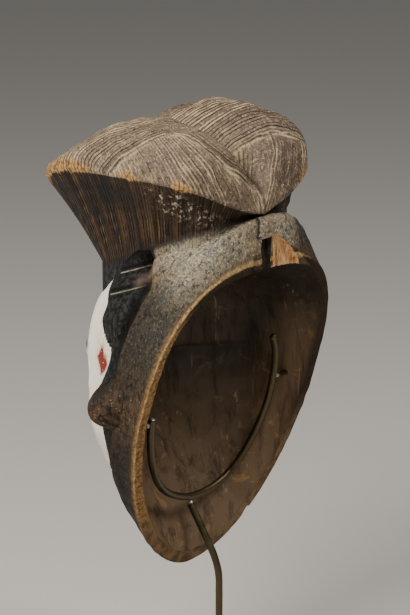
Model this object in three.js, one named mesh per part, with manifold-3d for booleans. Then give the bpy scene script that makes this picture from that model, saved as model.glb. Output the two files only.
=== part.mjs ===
// A carved wooden face mask with a two-lobed coiffure, held up on a bent metal cradle.
// Millimetres, Z up. The face looks along -Y and the hollow opens along +Y.
// The origin is the middle of the foot's underside, straight below the post.
// The mask and the cradle are drawn in the mask's own frame: chin tip at height 0, and the
// rim in a flat plane that leans back as it rises.

import * as THREE from 'three';
import { mergeVertices } from 'three/addons/utils/BufferGeometryUtils.js';
import Module from 'manifold-3d';

const wasm = await Module();
wasm.setup();

// Foot, post and cradle
const footWidth = 150;
const footDepth = 150;
const footHeight = 16;
const footChamfer = 1.5;
const footCornerRadius = 4;
const chinHeight = 112;
const rodDiameter = 4.8;
const pegDiameter = 3;
const pegClearance = 0.3;
const touchGap = 0.3;
const postSocketDepth = 10;
const cradleSideGap = 22;
const cradleBottomHeight = 46;
const cradleInset = 12;
const cradleTurn = 0.05;
const pegHeight = 118;
const pegWallLeft = 3;
const postSetback = 27;
const postBendHeight = 4;
const postBendLength = 12;

// Rim, shell and hollow
const rimHalfWidth = 90;
const widestHeight = 125;
const rimTopHeight = 218;
const crownHeight = 246;
const rimBottomY = -51;
const rimLean = 0.3;
const sideWall = 7.5;
const topWall = 7;
const chinWall = 9;
const faceWall = 14;
const wallThickening = 5;
const shoulderInset = 2;
const templeSquareness = 3.2;
const poleHeight = 112;
const faceY = -110;
const faceBow = 0.0016;
const faceBowHeight = 150;
const collarWidth = 26;
const collarTopWidth = 37;
const collarStep = 3;
const grooveDepth = 2;
const tressRise = 2.6;
const tressStep = 1.7;
const tressBottom = 170;
const tressFront = 70;
const tressBandLevels = [220, 234];
const bandSoftness = 4;
const lipRise = 18;
const lipDepth = 22;
const slotWidth = 11;
const slotHeight = 24;
const breakWidth = 22;
const damageDepth = 12;
const chipHeight = 27;
const chipInset = 54;
const chipTurn = 0.75;

// Ears
const earHeight = 132;
const earForward = 27;
const earRadius = 19;
const earReach = 14;
const earTipRadius = 6;
const earDroop = 9;
const earSweep = 12;

// Coiffure
const hairHalfWidth = 70;
const hairHalfLength = 71.5;
const hairMiddleY = -59.5;
const hairRise = 64;
const edgeRise = 29;
const edgeBackDrop = 10;
const edgeFrontDrop = 22;
const edgeValleyDrop = 18;
const neckHalfWidth = 50;
const neckHalfLength = 50;
const neckMiddleY = -45;
const neckSlope = 0.4;
const neckDepth = 30;
const lobeDrop = 4;
const valleyDepth = 16;
const valleyHalfWidth = 34;
const valleyDeepening = 0.37;
const strandDepth = 1.3;
const seamRadius = 1.7;
const seamLift = 0.5;

// Fineness of the faceting
const shellTurns = 60;
const shellRows = 29;
const hollowTurns = 44;
const hollowRows = 10;
const hairTurns = 84;
const flareRows = 3;
const domeRows = 12;
const rodSides = 8;
const seamSides = 6;

const rodRadius = rodDiameter / 2;
const cradleHalfWidth = rimHalfWidth - cradleSideGap;
const postY = rimBottomY + postSetback;

// Outlines seen from behind. The rim is a full arch. A little forward of it the shell swells to
// the shoulders that carry the coiffure, then fills out to the temples. The hollow narrows as
// its wall thickens.
const rimOutline = { halfWidth: rimHalfWidth, top: rimTopHeight, chin: 0, power: 2.65 };
const shoulderOutline = {
  halfWidth: rimHalfWidth - shoulderInset,
  top: crownHeight,
  chin: shoulderInset,
  power: 2.2,
};
const templeOutline = { ...shoulderOutline, power: templeSquareness };
const hollowOutline = {
  halfWidth: rimHalfWidth - sideWall,
  top: rimTopHeight - topWall,
  chin: chinWall,
  power: 3,
};
const innerOutline = {
  halfWidth: rimHalfWidth - sideWall - wallThickening,
  top: rimTopHeight - topWall - wallThickening,
  chin: chinWall + wallThickening,
  power: 2.8,
};

// The jaw is cut a little fuller on the mask's right side (-X) than on its left.
const leftJaw = { power: 1.7, fullness: 0.6 };
const rightJaw = { power: 2, fullness: 0.48 };

function rimY(z) {
  return rimBottomY + rimLean * z;
}

// Half width of an outline at a share of its rise above or below the widest level.
function acrossAt(outline, share, jaw = leftJaw) {
  const power = share > 0 ? outline.power : jaw.power;
  const fullness = share > 0 ? 1 / outline.power : jaw.fullness;
  return outline.halfWidth * Math.max(0, 1 - Math.abs(share) ** power) ** fullness;
}

// A point of the outline: turn 0 is the crown, half a turn is the chin.
function outlinePoint(outline, turn) {
  const share = Math.cos(turn);
  const side = Math.sign(Math.sin(turn));
  const rise = share > 0 ? outline.top - widestHeight : widestHeight - outline.chin;
  return {
    x: side * acrossAt(outline, share, side < 0 ? rightJaw : leftJaw),
    z: widestHeight + rise * share,
  };
}

// Helpers for smooth relief

function bell(distance, width) {
  return Math.exp(-((distance / width) ** 2));
}

function ramp(value, from, to) {
  const share = Math.min(1, Math.max(0, (value - from) / (to - from)));
  return share * share * (3 - 2 * share);
}

// The face, forward of its bowed front plane

function noseRelief(x, z) {
  const along = ramp(z, 154, 110) * ramp(z, 98, 105);
  const width = 5 + 7 * ramp(z, 140, 106);
  return 17 * along * bell(x, width) + 4 * bell(Math.abs(x) - 10, 5) * bell(z - 106, 6);
}

function eyeRelief(x, z) {
  const side = Math.abs(x) - 29;
  const socket = -5 * bell(side, 17) * bell(z - 138, 11);
  const lid = 6 * bell(side, 14) * bell(z - 136, 8);
  const slit = -2 * bell(side, 11) * bell(z - 134, 2.5);
  return socket + lid + slit;
}

function browRelief(x, z) {
  const arch = 153 + 6 * (1 - ((Math.abs(x) - 30) / 30) ** 2);
  return 2.5 * bell(z - arch, 3.5) * ramp(Math.abs(x), 64, 54);
}

function mouthRelief(x, z) {
  const upper = 7 * bell(x, 17) * bell(z - 87, 4);
  const lower = 7 * bell(x, 15) * bell(z - 77, 4.2);
  return upper + lower;
}

function chinRelief(x, z) {
  return 6 * bell(x, 20) * bell(z - 50, 13);
}

function foreheadRelief(x, z) {
  const lozenge = 1 - Math.abs(x) / 13 - Math.abs(z - 184) / 16;
  return 4 * bell(x, 45) * bell(z - 180, 26) + 1.5 * ramp(lozenge, 0, 0.15);
}

function faceFront(x, z) {
  const plane = faceY + faceBow * (z - faceBowHeight) ** 2;
  const relief = noseRelief(x, z) + eyeRelief(x, z) + browRelief(x, z)
    + mouthRelief(x, z) + chinRelief(x, z) + foreheadRelief(x, z);
  return plane - relief;
}

function hollowFront(x, z) {
  return faceY + faceWall + faceBow * (z - faceBowHeight) ** 2;
}

// Relief of the sides, outward, by the depth forward of the rim plane and the height

// The collar is wider beside the tresses, and wider again where it runs under the hair.
function collarEnd(z) {
  const upper = (collarTopWidth - collarWidth) * ramp(z, 120, 170);
  const underHair = 12 * ramp(z, 205, 228);
  return collarWidth + upper + underHair;
}

function sideRelief(depth, z) {
  const end = collarEnd(z);
  const step = -collarStep * ramp(depth, end - 2, end + 2);
  const groove = -grooveDepth * ramp(z, 150, 180) * bell(depth - end - 3, 4);
  return step + groove + tressRelief(depth - end, depth, z);
}

// A tress of three bands, each standing a step further out than the one below it. The bands'
// borders drop forwards, as the hair's base does.
function tressRelief(fromCollar, depth, z) {
  const level = z + neckSlope * depth;
  const side = ramp(fromCollar, 4, 8) * ramp(depth, tressFront, tressFront - 8);
  const bottom = ramp(z, tressBottom, tressBottom + 10);
  const steps = tressBandLevels.map((start) => ramp(level, start - bandSoftness / 2, start + bandSoftness / 2));
  return side * bottom * (tressRise + tressStep * (steps[0] + steps[1]));
}

function noRelief() {
  return 0;
}

// Squareness of the bowl: full under the crown, round at the sides, keen at the chin.
function squareness(turn) {
  const up = Math.max(0, Math.cos(turn));
  const down = Math.max(0, -Math.cos(turn));
  return 2.1 + 0.3 * up * up - 0.6 * down * down;
}

// A bowl from the rim (t = 0) to its pole at the front (t = 1). Its outline blends from the one
// at the rim to the one just inside, and then to the one at the front.
function bowlPoint(bowl, turn, t) {
  const n = squareness(turn);
  const across = Math.cos(t * Math.PI / 2) ** (2 / n);
  const deep = Math.sin(t * Math.PI / 2) ** (2 / n);
  const up = Math.max(0, Math.cos(turn));
  const mix = ramp(deep, 0, bowl.blend + (bowl.blendTop - bowl.blend) * up * up);
  const fill = ramp(deep, 0.25, 0.5);
  const atRim = outlinePoint(bowl.rim, turn);
  const near = outlinePoint(bowl.inside, turn);
  const far = outlinePoint(bowl.front, turn);
  const insideX = near.x + (far.x - near.x) * fill;
  const insideZ = near.z + (far.z - near.z) * fill;
  const x = across * (atRim.x + (insideX - atRim.x) * mix);
  const rise = across * (atRim.z + (insideZ - atRim.z) * mix - poleHeight);
  const z = poleHeight + rise;
  const y = rimY(z) + (bowl.faceAt(x, z) - rimY(z)) * deep;
  const reach = Math.max(1, Math.hypot(x, rise));
  const out = 1 + bowl.relief(rimY(z) - y, z) * ramp(across, 0.35, 0.8) / reach;
  return [x * out, y, poleHeight + rise * out];
}

const outerBowl = {
  rim: rimOutline,
  inside: shoulderOutline,
  front: templeOutline,
  blend: 0.2,
  blendTop: 0.09,
  faceAt: faceFront,
  relief: sideRelief,
};
const hollowBowl = {
  rim: hollowOutline,
  inside: innerOutline,
  front: innerOutline,
  blend: 0.3,
  blendTop: 0.3,
  faceAt: hollowFront,
  relief: noRelief,
};

// A closed surface from a grid of turns and rows between two poles.
function gridSolid(turns, rings, firstPole, lastPole) {
  const points = [firstPole, ...rings.flat(), lastPole];
  const faces = [];
  const at = (ring, turn) => 1 + ring * turns + (turn % turns);
  for (let turn = 0; turn < turns; turn++) {
    faces.push([0, at(0, turn), at(0, turn + 1)]);
    for (let ring = 0; ring + 1 < rings.length; ring++) {
      faces.push([at(ring, turn), at(ring + 1, turn), at(ring, turn + 1)]);
      faces.push([at(ring, turn + 1), at(ring + 1, turn), at(ring + 1, turn + 1)]);
    }
    const end = rings.length - 1;
    faces.push([at(end, turn), points.length - 1, at(end, turn + 1)]);
  }
  return solidOf(points.flat(), outward(points, faces).flat());
}

// Turns the faces round when the volume that they enclose is negative.
function outward(points, faces) {
  let volume = 0;
  for (const [a, b, c] of faces) {
    const p = new THREE.Vector3(...points[a]);
    const q = new THREE.Vector3(...points[b]);
    const r = new THREE.Vector3(...points[c]);
    volume += p.dot(q.cross(r));
  }
  return volume > 0 ? faces : faces.map(([a, b, c]) => [a, c, b]);
}

function solidOf(positions, indices) {
  return new wasm.Manifold(new wasm.Mesh({
    numProp: 3,
    vertProperties: new Float32Array(positions),
    triVerts: new Uint32Array(indices),
  }));
}

function solidFrom(geometry) {
  geometry.deleteAttribute('normal');
  geometry.deleteAttribute('uv');
  const merged = mergeVertices(geometry, 1e-4);
  return solidOf(merged.attributes.position.array, merged.index.array);
}

function geometryFrom(solid) {
  const result = solid.getMesh();
  const geometry = new THREE.BufferGeometry();
  geometry.setAttribute('position', new THREE.Float32BufferAttribute(result.vertProperties, 3));
  geometry.setIndex(new THREE.Uint32BufferAttribute(result.triVerts, 1));
  geometry.computeVertexNormals();
  return geometry;
}

function turnAngles(count) {
  return Array.from({ length: count }, (_, i) => 2 * Math.PI * i / count);
}

// Turns that lie evenly along an outline, because equal turns bunch up at its sides.
function evenTurns(outline, count) {
  const fine = turnAngles(count * 24);
  const points = fine.map((turn) => outlinePoint(outline, turn));
  const lengths = [0];
  for (let i = 0; i < points.length; i++) {
    const next = points[(i + 1) % points.length];
    lengths.push(lengths[i] + Math.hypot(next.x - points[i].x, next.z - points[i].z));
  }
  const whole = lengths[points.length];
  return turnAngles(count).map((_, i) => {
    const after = lengths.findIndex((length) => length > whole * i / count);
    const share = (whole * i / count - lengths[after - 1]) / (lengths[after] - lengths[after - 1]);
    return 2 * Math.PI * (after - 1 + share) / fine.length;
  });
}

// Shell and hollow

function outerSolid() {
  const angles = evenTurns(rimOutline, shellTurns);
  const rings = [];
  for (let row = 0; row < shellRows; row++) {
    const t = row / shellRows;
    rings.push(angles.map((turn) => bowlPoint(outerBowl, turn, t)));
  }
  const back = [0, rimY(poleHeight), poleHeight];
  const nose = [0, faceFront(0, poleHeight), poleHeight];
  return gridSolid(shellTurns, rings, back, nose);
}

function hollowSolid() {
  const angles = evenTurns(hollowOutline, hollowTurns);
  const beyond = 30;
  const rings = [angles.map((turn) => {
    const [x, y, z] = bowlPoint(hollowBowl, turn, 0);
    return [x, y + beyond, z];
  })];
  for (let row = 0; row < hollowRows; row++) {
    const t = (row / hollowRows) ** 1.1;
    rings.push(angles.map((turn) => bowlPoint(hollowBowl, turn, t)));
  }
  const back = [0, rimY(poleHeight) + beyond, poleHeight];
  const front = [0, hollowFront(0, poleHeight), poleHeight];
  return gridSolid(hollowTurns, rings, back, front);
}

// Coiffure

// A rounded rectangle as a radius for each direction, angle 0 pointing to the back.
function roundedPoint(angle, halfWidth, halfLength, power, middleY) {
  const sx = Math.abs(Math.sin(angle)) / halfWidth;
  const sy = Math.abs(Math.cos(angle)) / halfLength;
  const radius = (sx ** power + sy ** power) ** (-1 / power);
  return { x: radius * Math.sin(angle), y: middleY + radius * Math.cos(angle) };
}

function edgePoint(angle) {
  const point = roundedPoint(angle, hairHalfWidth, hairHalfLength, 4, hairMiddleY);
  const share = (point.y - hairMiddleY) / hairHalfLength;
  const drop = share > 0 ? edgeBackDrop : edgeFrontDrop;
  const reach = Math.max(0, 1 - Math.abs(point.x) / (hairHalfWidth * 0.86));
  const dip = edgeValleyDrop * Math.max(0, share) ** 8 * reach;
  return { ...point, z: crownHeight + edgeRise - drop * share ** 4 - dip };
}

function neckPoint(angle) {
  const point = roundedPoint(angle, neckHalfWidth, neckHalfLength, 4, neckMiddleY);
  const back = neckMiddleY + neckHalfLength;
  return { ...point, z: crownHeight + neckSlope * (point.y - back) };
}

function peakHeight(x, y) {
  const ahead = Math.max(0, -45 - y);
  const valley = Math.max(0, 1 - Math.abs(x) / valleyHalfWidth) ** 2;
  const deep = Math.max(0, valleyDepth + valleyDeepening * (y - hairMiddleY));
  const lobe = lobeDrop * ramp(x, 0, 30);
  return crownHeight + hairRise - lobe - 0.0055 * ahead * ahead - deep * valley;
}

function domePoint(angle, t) {
  const roundness = 2.8;
  const edge = edgePoint(angle);
  const across = Math.cos(t * Math.PI / 2) ** (2 / roundness);
  const up = Math.sin(t * Math.PI / 2) ** (2 / roundness);
  const x = across * edge.x;
  const y = hairMiddleY + across * (edge.y - hairMiddleY);
  return { x, y, z: edge.z + (peakHeight(x, y) - edge.z) * up };
}

// Height of the dome above a place inside the edge.
function domeHeight(x, y) {
  const angle = Math.atan2(x, y - hairMiddleY);
  const edge = edgePoint(angle);
  const share = Math.hypot(x, y - hairMiddleY) / Math.hypot(edge.x, edge.y - hairMiddleY);
  const t = Math.acos(Math.min(1, share) ** 1.4) * 2 / Math.PI;
  return domePoint(angle, t).z;
}

// Every other column lies lower, so the combed strands show as ridges.
function strandDrop(column, fade) {
  return column % 2 === 1 ? strandDepth * fade : 0;
}

function neckRing(angles, drop) {
  return angles.map((angle) => {
    const { x, y, z } = neckPoint(angle);
    return [x, y, z - drop];
  });
}

function flareRing(angles, share) {
  return angles.map((angle, column) => {
    const neck = neckPoint(angle);
    const edge = edgePoint(angle);
    const inward = 1 - strandDrop(column, ramp(edge.z - neck.z, 5, 25)) / hairHalfWidth;
    const x = neck.x + (edge.x - neck.x) * share;
    const y = neck.y + (edge.y - neck.y) * share;
    const z = neck.z + (edge.z - neck.z) * share;
    return [x * inward, hairMiddleY + (y - hairMiddleY) * inward, z];
  });
}

function domeRing(angles, t) {
  return angles.map((angle, column) => {
    const { x, y, z } = domePoint(angle, t);
    const drop = strandDrop(column, ramp(t, 0.85, 0.5));
    const inward = 1 - drop * ramp(t, 0.4, 0) / hairHalfWidth;
    return [x * inward, hairMiddleY + (y - hairMiddleY) * inward, z - drop * ramp(t, 0.1, 0.5)];
  });
}

function hairSolid() {
  const angles = turnAngles(hairTurns);
  const rings = [neckRing(angles, neckDepth), neckRing(angles, 0)];
  for (let row = 1; row < flareRows; row++) {
    rings.push(flareRing(angles, row / flareRows));
  }
  for (let row = 0; row < domeRows; row++) {
    rings.push(domeRing(angles, row / domeRows));
  }
  const below = [0, neckMiddleY, crownHeight - neckSlope * neckHalfLength - neckDepth];
  const above = [0, hairMiddleY, peakHeight(0, hairMiddleY)];
  return gridSolid(hairTurns, rings, below, above);
}

// Where two groups of strands meet, a groove runs over each lobe from the valley to the edge.
// Places are shares of the coiffure's half width and half length.
const leftSeam = [
  [1.01, 0.06], [0.97, 0.23], [0.91, 0.32], [0.81, 0.4], [0.69, 0.46], [0.62, 0.55],
  [0.59, 0.68], [0.56, 0.84], [0.45, 0.93], [0.28, 0.96], [0.06, 0.97],
];
const rightSeam = [
  [-0.02, 0.56], [-0.1, 0.62], [-0.18, 0.7], [-0.26, 0.76], [-0.38, 0.82], [-0.53, 0.87],
  [-0.72, 0.88], [-0.9, 0.86],
];

function seamSolid(places) {
  const points = places.map(([across, along]) => {
    const x = across * hairHalfWidth;
    const y = hairMiddleY + along * hairHalfLength;
    return new THREE.Vector3(x, y, domeHeight(x, y) + seamLift);
  });
  return solidFrom(rodGeometry(new THREE.CatmullRomCurve3(points), seamRadius, seamSides, 22));
}

// Ears: blunt cones that droop and sweep forward

function earSolid(side) {
  const sunk = 14;
  const tip = sunk + earReach;
  const profile = [
    new THREE.Vector2(0, 0),
    new THREE.Vector2(earRadius, 0),
    new THREE.Vector2(earRadius, sunk * 0.7),
    new THREE.Vector2(earRadius * 0.8, sunk + earReach * 0.25),
    new THREE.Vector2((earRadius * 0.45 + earTipRadius) / 1.6, sunk + earReach * 0.65),
    new THREE.Vector2(earTipRadius, sunk + earReach * 0.88),
    new THREE.Vector2(earTipRadius * 0.5, tip - 0.4),
    new THREE.Vector2(0, tip),
  ];
  const geometry = new THREE.LatheGeometry(profile, 16);
  geometry.rotateZ(-side * Math.PI / 2);
  const position = geometry.attributes.position;
  const y = rimY(earHeight) - earForward;
  const foot = wallX(shoulderOutline, y, earHeight) - collarStep - sunk;
  for (let i = 0; i < position.count; i++) {
    const bend = ramp(Math.abs(position.getX(i)), sunk * 0.5, tip);
    position.setX(i, position.getX(i) + side * foot);
    position.setY(i, position.getY(i) + y - earSweep * bend);
    position.setZ(i, position.getZ(i) + earHeight - earDroop * bend);
  }
  return solidFrom(geometry);
}

// Side of the shell at one depth and height, near its widest level.
function wallX(outline, y, z) {
  const rise = z > widestHeight ? outline.top - widestHeight : widestHeight - outline.chin;
  const deep = Math.max(0, (rimY(z) - y) / (rimY(z) - faceY));
  return acrossAt(outline, (z - widestHeight) / rise) * (1 - deep ** 2.1) ** (1 / 2.1);
}

// The crown: where the collar's top was broken away, its back face stands taller behind a
// slanting lip, with a slot and a broken hollow in it

function boxSolid(size, place, tilt) {
  const geometry = new THREE.BoxGeometry(...size);
  geometry.rotateX(tilt);
  geometry.translate(...place);
  return solidFrom(geometry);
}

function crownLip() {
  const top = rimTopHeight + lipRise;
  const outline = new THREE.Shape([
    new THREE.Vector2(13, rimTopHeight - 5),
    new THREE.Vector2(11, top - 3),
    new THREE.Vector2(2, top),
    new THREE.Vector2(-9, top - 2),
    new THREE.Vector2(-30, rimTopHeight + 3),
    new THREE.Vector2(-48, rimTopHeight - 14),
    new THREE.Vector2(-20, rimTopHeight - 5),
  ]);
  const geometry = new THREE.ExtrudeGeometry(outline, { depth: lipDepth, bevelEnabled: false });
  geometry.rotateX(Math.PI / 2);
  geometry.translate(0, rimY(rimTopHeight) - touchGap, 0);
  return solidFrom(geometry);
}

function crownSlot() {
  const z = rimTopHeight + 6;
  return boxSolid([slotWidth, damageDepth, slotHeight], [0, rimY(rimTopHeight), z], 0.1);
}

function crownBreak() {
  const z = rimTopHeight + 5;
  const x = -slotWidth / 2 - breakWidth / 2 - 2.5;
  return boxSolid([breakWidth, damageDepth, breakWidth], [x, rimY(rimTopHeight) + 3, z], 0.5);
}

// A splinter lost from the rim's right side near the chin, which leaves a step in its outline.
function rimChip() {
  const [width, depth, height] = [14, 60, 30];
  const geometry = new THREE.BoxGeometry(width, depth, height);
  geometry.translate(-width / 2, 0, -height / 2);
  geometry.rotateY(-chipTurn);
  geometry.translate(-chipInset, rimY(chipHeight) - 5, chipHeight);
  return solidFrom(geometry);
}

// Pegs run from the cradle into blind holes in the walls

function pegEnd(side) {
  const y = cradleY(side * cradleHalfWidth, pegHeight);
  return wallX(rimOutline, y, pegHeight) - pegWallLeft;
}

function pegStart(side) {
  return cradleHalfWidth * (side > 0 ? leftPegShare : rightPegShare);
}

function pegRod(side, from, to, radius) {
  const geometry = new THREE.CylinderGeometry(radius, radius, to - from, rodSides);
  geometry.rotateZ(Math.PI / 2);
  geometry.translate(side * (from + to) / 2, cradleY(side * cradleHalfWidth, pegHeight), pegHeight);
  return geometry;
}

function peg(side) {
  const start = pegStart(side) + rodRadius + touchGap;
  return pegRod(side, start, pegEnd(side), pegDiameter / 2);
}

function pegHole(side) {
  const radius = pegDiameter / 2 + pegClearance;
  return solidFrom(pegRod(side, pegStart(side), pegEnd(side) + touchGap, radius));
}

function maskGeometry() {
  let wood = outerSolid().add(hairSolid());
  for (const side of [1, -1]) {
    wood = wood.add(earSolid(side));
  }
  wood = wood.add(crownLip());
  const cuts = [
    seamSolid(leftSeam), seamSolid(rightSeam), hollowSolid(), crownSlot(), crownBreak(), rimChip(),
  ];
  for (const cut of cuts) {
    wood = wood.subtract(cut);
  }
  for (const side of [1, -1]) {
    wood = wood.subtract(pegHole(side));
  }
  return geometryFrom(wood);
}

// Metal rods

function rodGeometry(curve, radius, sides, steps) {
  const section = new THREE.Shape();
  for (let side = 0; side < sides; side++) {
    const angle = 2 * Math.PI * side / sides;
    const x = radius * Math.cos(angle);
    const y = radius * Math.sin(angle);
    if (side === 0) section.moveTo(x, y);
    else section.lineTo(x, y);
  }
  return new THREE.ExtrudeGeometry(section, { extrudePath: curve, steps, bevelEnabled: false });
}

// The cradle lies in a plane that leans with the rim and is turned a little about the vertical.
function cradleY(x, z) {
  return rimY(z) - cradleInset + cradleTurn * x;
}

// The bent cradle: shares of its half width, and rises above its lowest point in the units
// that make up the rise to the pegs. Its left end stops at the peg, and its right end runs on
// past the peg and bends inwards.
const leftPegShare = 0.98;
const rightPegShare = 0.95;
const riseUnits = 72;
const riseUnit = (pegHeight - cradleBottomHeight) / riseUnits;
const cradlePlaces = [
  [leftPegShare, 76], [leftPegShare, 72], [0.9, 54], [0.74, 33], [0.56, 19], [0.34, 9], [0.02, 1],
  [-0.3, 0], [-0.55, 5], [-0.72, 14], [-0.87, 30], [-0.96, 50], [-rightPegShare, 72], [-0.88, 90],
  [-0.74, 106],
];

function cradleCurve() {
  return new THREE.CatmullRomCurve3(cradlePlaces.map(([across, rise]) => {
    const x = across * cradleHalfWidth;
    const z = cradleBottomHeight + rise * riseUnit;
    return new THREE.Vector3(x, cradleY(x, z), z);
  }));
}

function postCurve() {
  const top = cradleBottomHeight - rodRadius - touchGap;
  const foot = footHeight - postSocketDepth + touchGap - chinHeight;
  const lean = (postY - cradleY(0, top)) / (top - postBendHeight);
  const bend = new THREE.QuadraticBezierCurve3(
    new THREE.Vector3(0, postY - postBendLength * lean, postBendHeight + postBendLength),
    new THREE.Vector3(0, postY, postBendHeight),
    new THREE.Vector3(0, postY, postBendHeight - postBendLength),
  );
  const path = new THREE.CurvePath();
  path.add(new THREE.LineCurve3(new THREE.Vector3(0, cradleY(0, top), top), bend.v0));
  path.add(bend);
  path.add(new THREE.LineCurve3(bend.v2, new THREE.Vector3(0, postY, foot)));
  return path;
}

function footGeometry() {
  const halfWidth = footWidth / 2 - footChamfer;
  const halfDepth = footDepth / 2 - footChamfer;
  const plan = new THREE.Shape();
  for (const [index, [x, y]] of [[1, 1], [-1, 1], [-1, -1], [1, -1]].entries()) {
    const centreX = x * (halfWidth - footCornerRadius);
    const centreY = y * (halfDepth - footCornerRadius);
    const start = index * Math.PI / 2;
    plan.absarc(centreX, centreY, footCornerRadius, start, start + Math.PI / 2, false);
  }
  const plate = new THREE.ExtrudeGeometry(plan, {
    depth: footHeight - 2 * footChamfer,
    bevelThickness: footChamfer,
    bevelSize: footChamfer,
    bevelSegments: 1,
    curveSegments: 3,
  });
  plate.translate(0, 0, footChamfer);
  const socket = new THREE.CylinderGeometry(
    rodRadius + pegClearance,
    rodRadius + pegClearance,
    2 * postSocketDepth,
    rodSides,
  );
  socket.rotateX(Math.PI / 2);
  socket.translate(0, 0, footHeight);
  return geometryFrom(solidFrom(plate).subtract(solidFrom(socket)));
}

// Materials and assembly

function paint(color, roughness, metalness) {
  return new THREE.MeshStandardMaterial({ color, roughness, metalness });
}

const carvedWood = paint(0x6b5a45, 0.75, 0);
const bronzedMetal = paint(0x4b4432, 0.4, 0.9);
const darkSteel = paint(0x2c2a28, 0.5, 0.8);

const group = new THREE.Group();
const raised = new THREE.Group();
raised.position.set(0, -postY, chinHeight);
group.add(raised);

function addPiece(parent, name, geometry, material) {
  const piece = new THREE.Mesh(geometry, material);
  piece.name = name;
  parent.add(piece);
}

addPiece(raised, 'mask', maskGeometry(), carvedWood);
addPiece(raised, 'cradle_rod', rodGeometry(cradleCurve(), rodRadius, rodSides, 40), bronzedMetal);
addPiece(raised, 'peg_left', peg(1), bronzedMetal);
addPiece(raised, 'peg_right', peg(-1), bronzedMetal);
addPiece(raised, 'post', rodGeometry(postCurve(), rodRadius, rodSides, 26), bronzedMetal);
addPiece(group, 'foot', footGeometry(), darkSteel);

export default group;
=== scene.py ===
"""A carved wooden face mask with a two-lobed coiffure, on its bent metal cradle and plate foot.

The mask is worked out in its own frame, in millimetres: the chin tip is at height 0, the face
looks along -Y, and the rim lies in a flat plane that leans back as it rises.
"""
import math

import bpy
import numpy as np
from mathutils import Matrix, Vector


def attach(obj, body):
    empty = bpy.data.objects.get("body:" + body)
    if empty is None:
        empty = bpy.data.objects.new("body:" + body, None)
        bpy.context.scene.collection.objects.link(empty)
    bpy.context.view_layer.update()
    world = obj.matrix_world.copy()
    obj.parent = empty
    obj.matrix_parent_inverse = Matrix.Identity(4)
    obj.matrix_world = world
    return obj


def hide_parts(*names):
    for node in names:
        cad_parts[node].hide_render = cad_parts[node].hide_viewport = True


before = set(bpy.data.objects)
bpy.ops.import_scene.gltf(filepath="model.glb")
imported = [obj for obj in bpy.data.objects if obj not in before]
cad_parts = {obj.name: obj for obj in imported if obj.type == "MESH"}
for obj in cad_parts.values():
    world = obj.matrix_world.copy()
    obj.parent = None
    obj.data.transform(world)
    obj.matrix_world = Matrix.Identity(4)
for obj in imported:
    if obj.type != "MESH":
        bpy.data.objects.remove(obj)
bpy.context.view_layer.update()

MM = 0.001
SHIFT = np.array([0.0, 24.0, 112.0])      # from the mask's frame to the part's frame

# Rim, shell and hollow, in millimetres
WIDEST = 125.0
POLE = 112.0
RIM_BOTTOM_Y = -51.0
RIM_LEAN = 0.3
FACE_Y = -110.0
FACE_BOW = 0.0016
FACE_WALL = 14.0
COLLAR_STEP = 3.0
TRESS_FRONT = 70.0
TRESS_BOTTOM = 170.0
BAND_LEVELS = (223.5, 237.0)
RIM = dict(half=90.0, top=218.0, chin=0.0, power=2.65)
SHOULDER = dict(half=88.0, top=246.0, chin=2.0, power=2.2)
TEMPLE = dict(half=88.0, top=246.0, chin=2.0, power=3.2)
HOLLOW = dict(half=82.5, top=211.0, chin=9.0, power=3.0)
INNER = dict(half=77.5, top=206.0, chin=14.0, power=2.8)
LEFT_JAW = (1.7, 0.6)                     # power and fullness of the jaw's curve
RIGHT_JAW = (2.0, 0.48)
BOWL_POWER = 2.1
BEYOND_RIM = 30.0
CORNER_SHARE = 0.996                      # the rim's outer corner, drawn in and set back
CORNER_STEP = 0.5
SHELL_MIDDLE = (0.0, -40.0, 120.0)        # points that unevenness and tool facets radiate from
HOLLOW_MIDDLE = (0.0, 20.0, 120.0)

# Features of the face and the sides
FACE_BOW_HEIGHT = 150.0
NOSE_TIP = 106.0
EYE_SIDE = 29.0
EYE_HEIGHT = 134.0
BROW = dict(side=30.0, height=153.0, rise=6.0)
MOUTH_HEIGHT = 82.0
CHIN_HEIGHT = 50.0
LOZENGE = dict(height=184.0, half_x=13.0, half_z=16.0)
TEMPLE_LOZENGE = dict(y=-59.0, height=155.0, half_y=8.5, half_z=10.0)
LEDGE_HEIGHT = 136.0
EAR_HEIGHT = 132.0
EAR_FORWARD = 27.0
EAR_RADIUS = 19.0
EAR_TIP_RADIUS = 6.0
EAR_REACH = 14.0
EAR_SUNK = 14.0
EAR_SWEEP = 8.5
EAR_DROOP = 3.5
CLAY_LINE = [                             # heights, and how far in front of the rim the clay starts
    (60, 30), (95, 32), (140, 50), (157, 45), (165, 46), (173, 61), (180, 65),
    (190, 69), (198, 76), (205, 83), (215, 95),
]

# Points round and along the grids
SHELL_TURNS = 310
SHELL_RINGS = 106
RIM_SHARES = (0.86, 0.89, 0.92, 0.945, 0.965, 0.98, 0.99)
HOLLOW_TURNS = 170
HOLLOW_RINGS = 46
HAIR_TURNS = 560
FLARE_RINGS = 14
DOME_RINGS = 70
ROD_SIDES = 24

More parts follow.
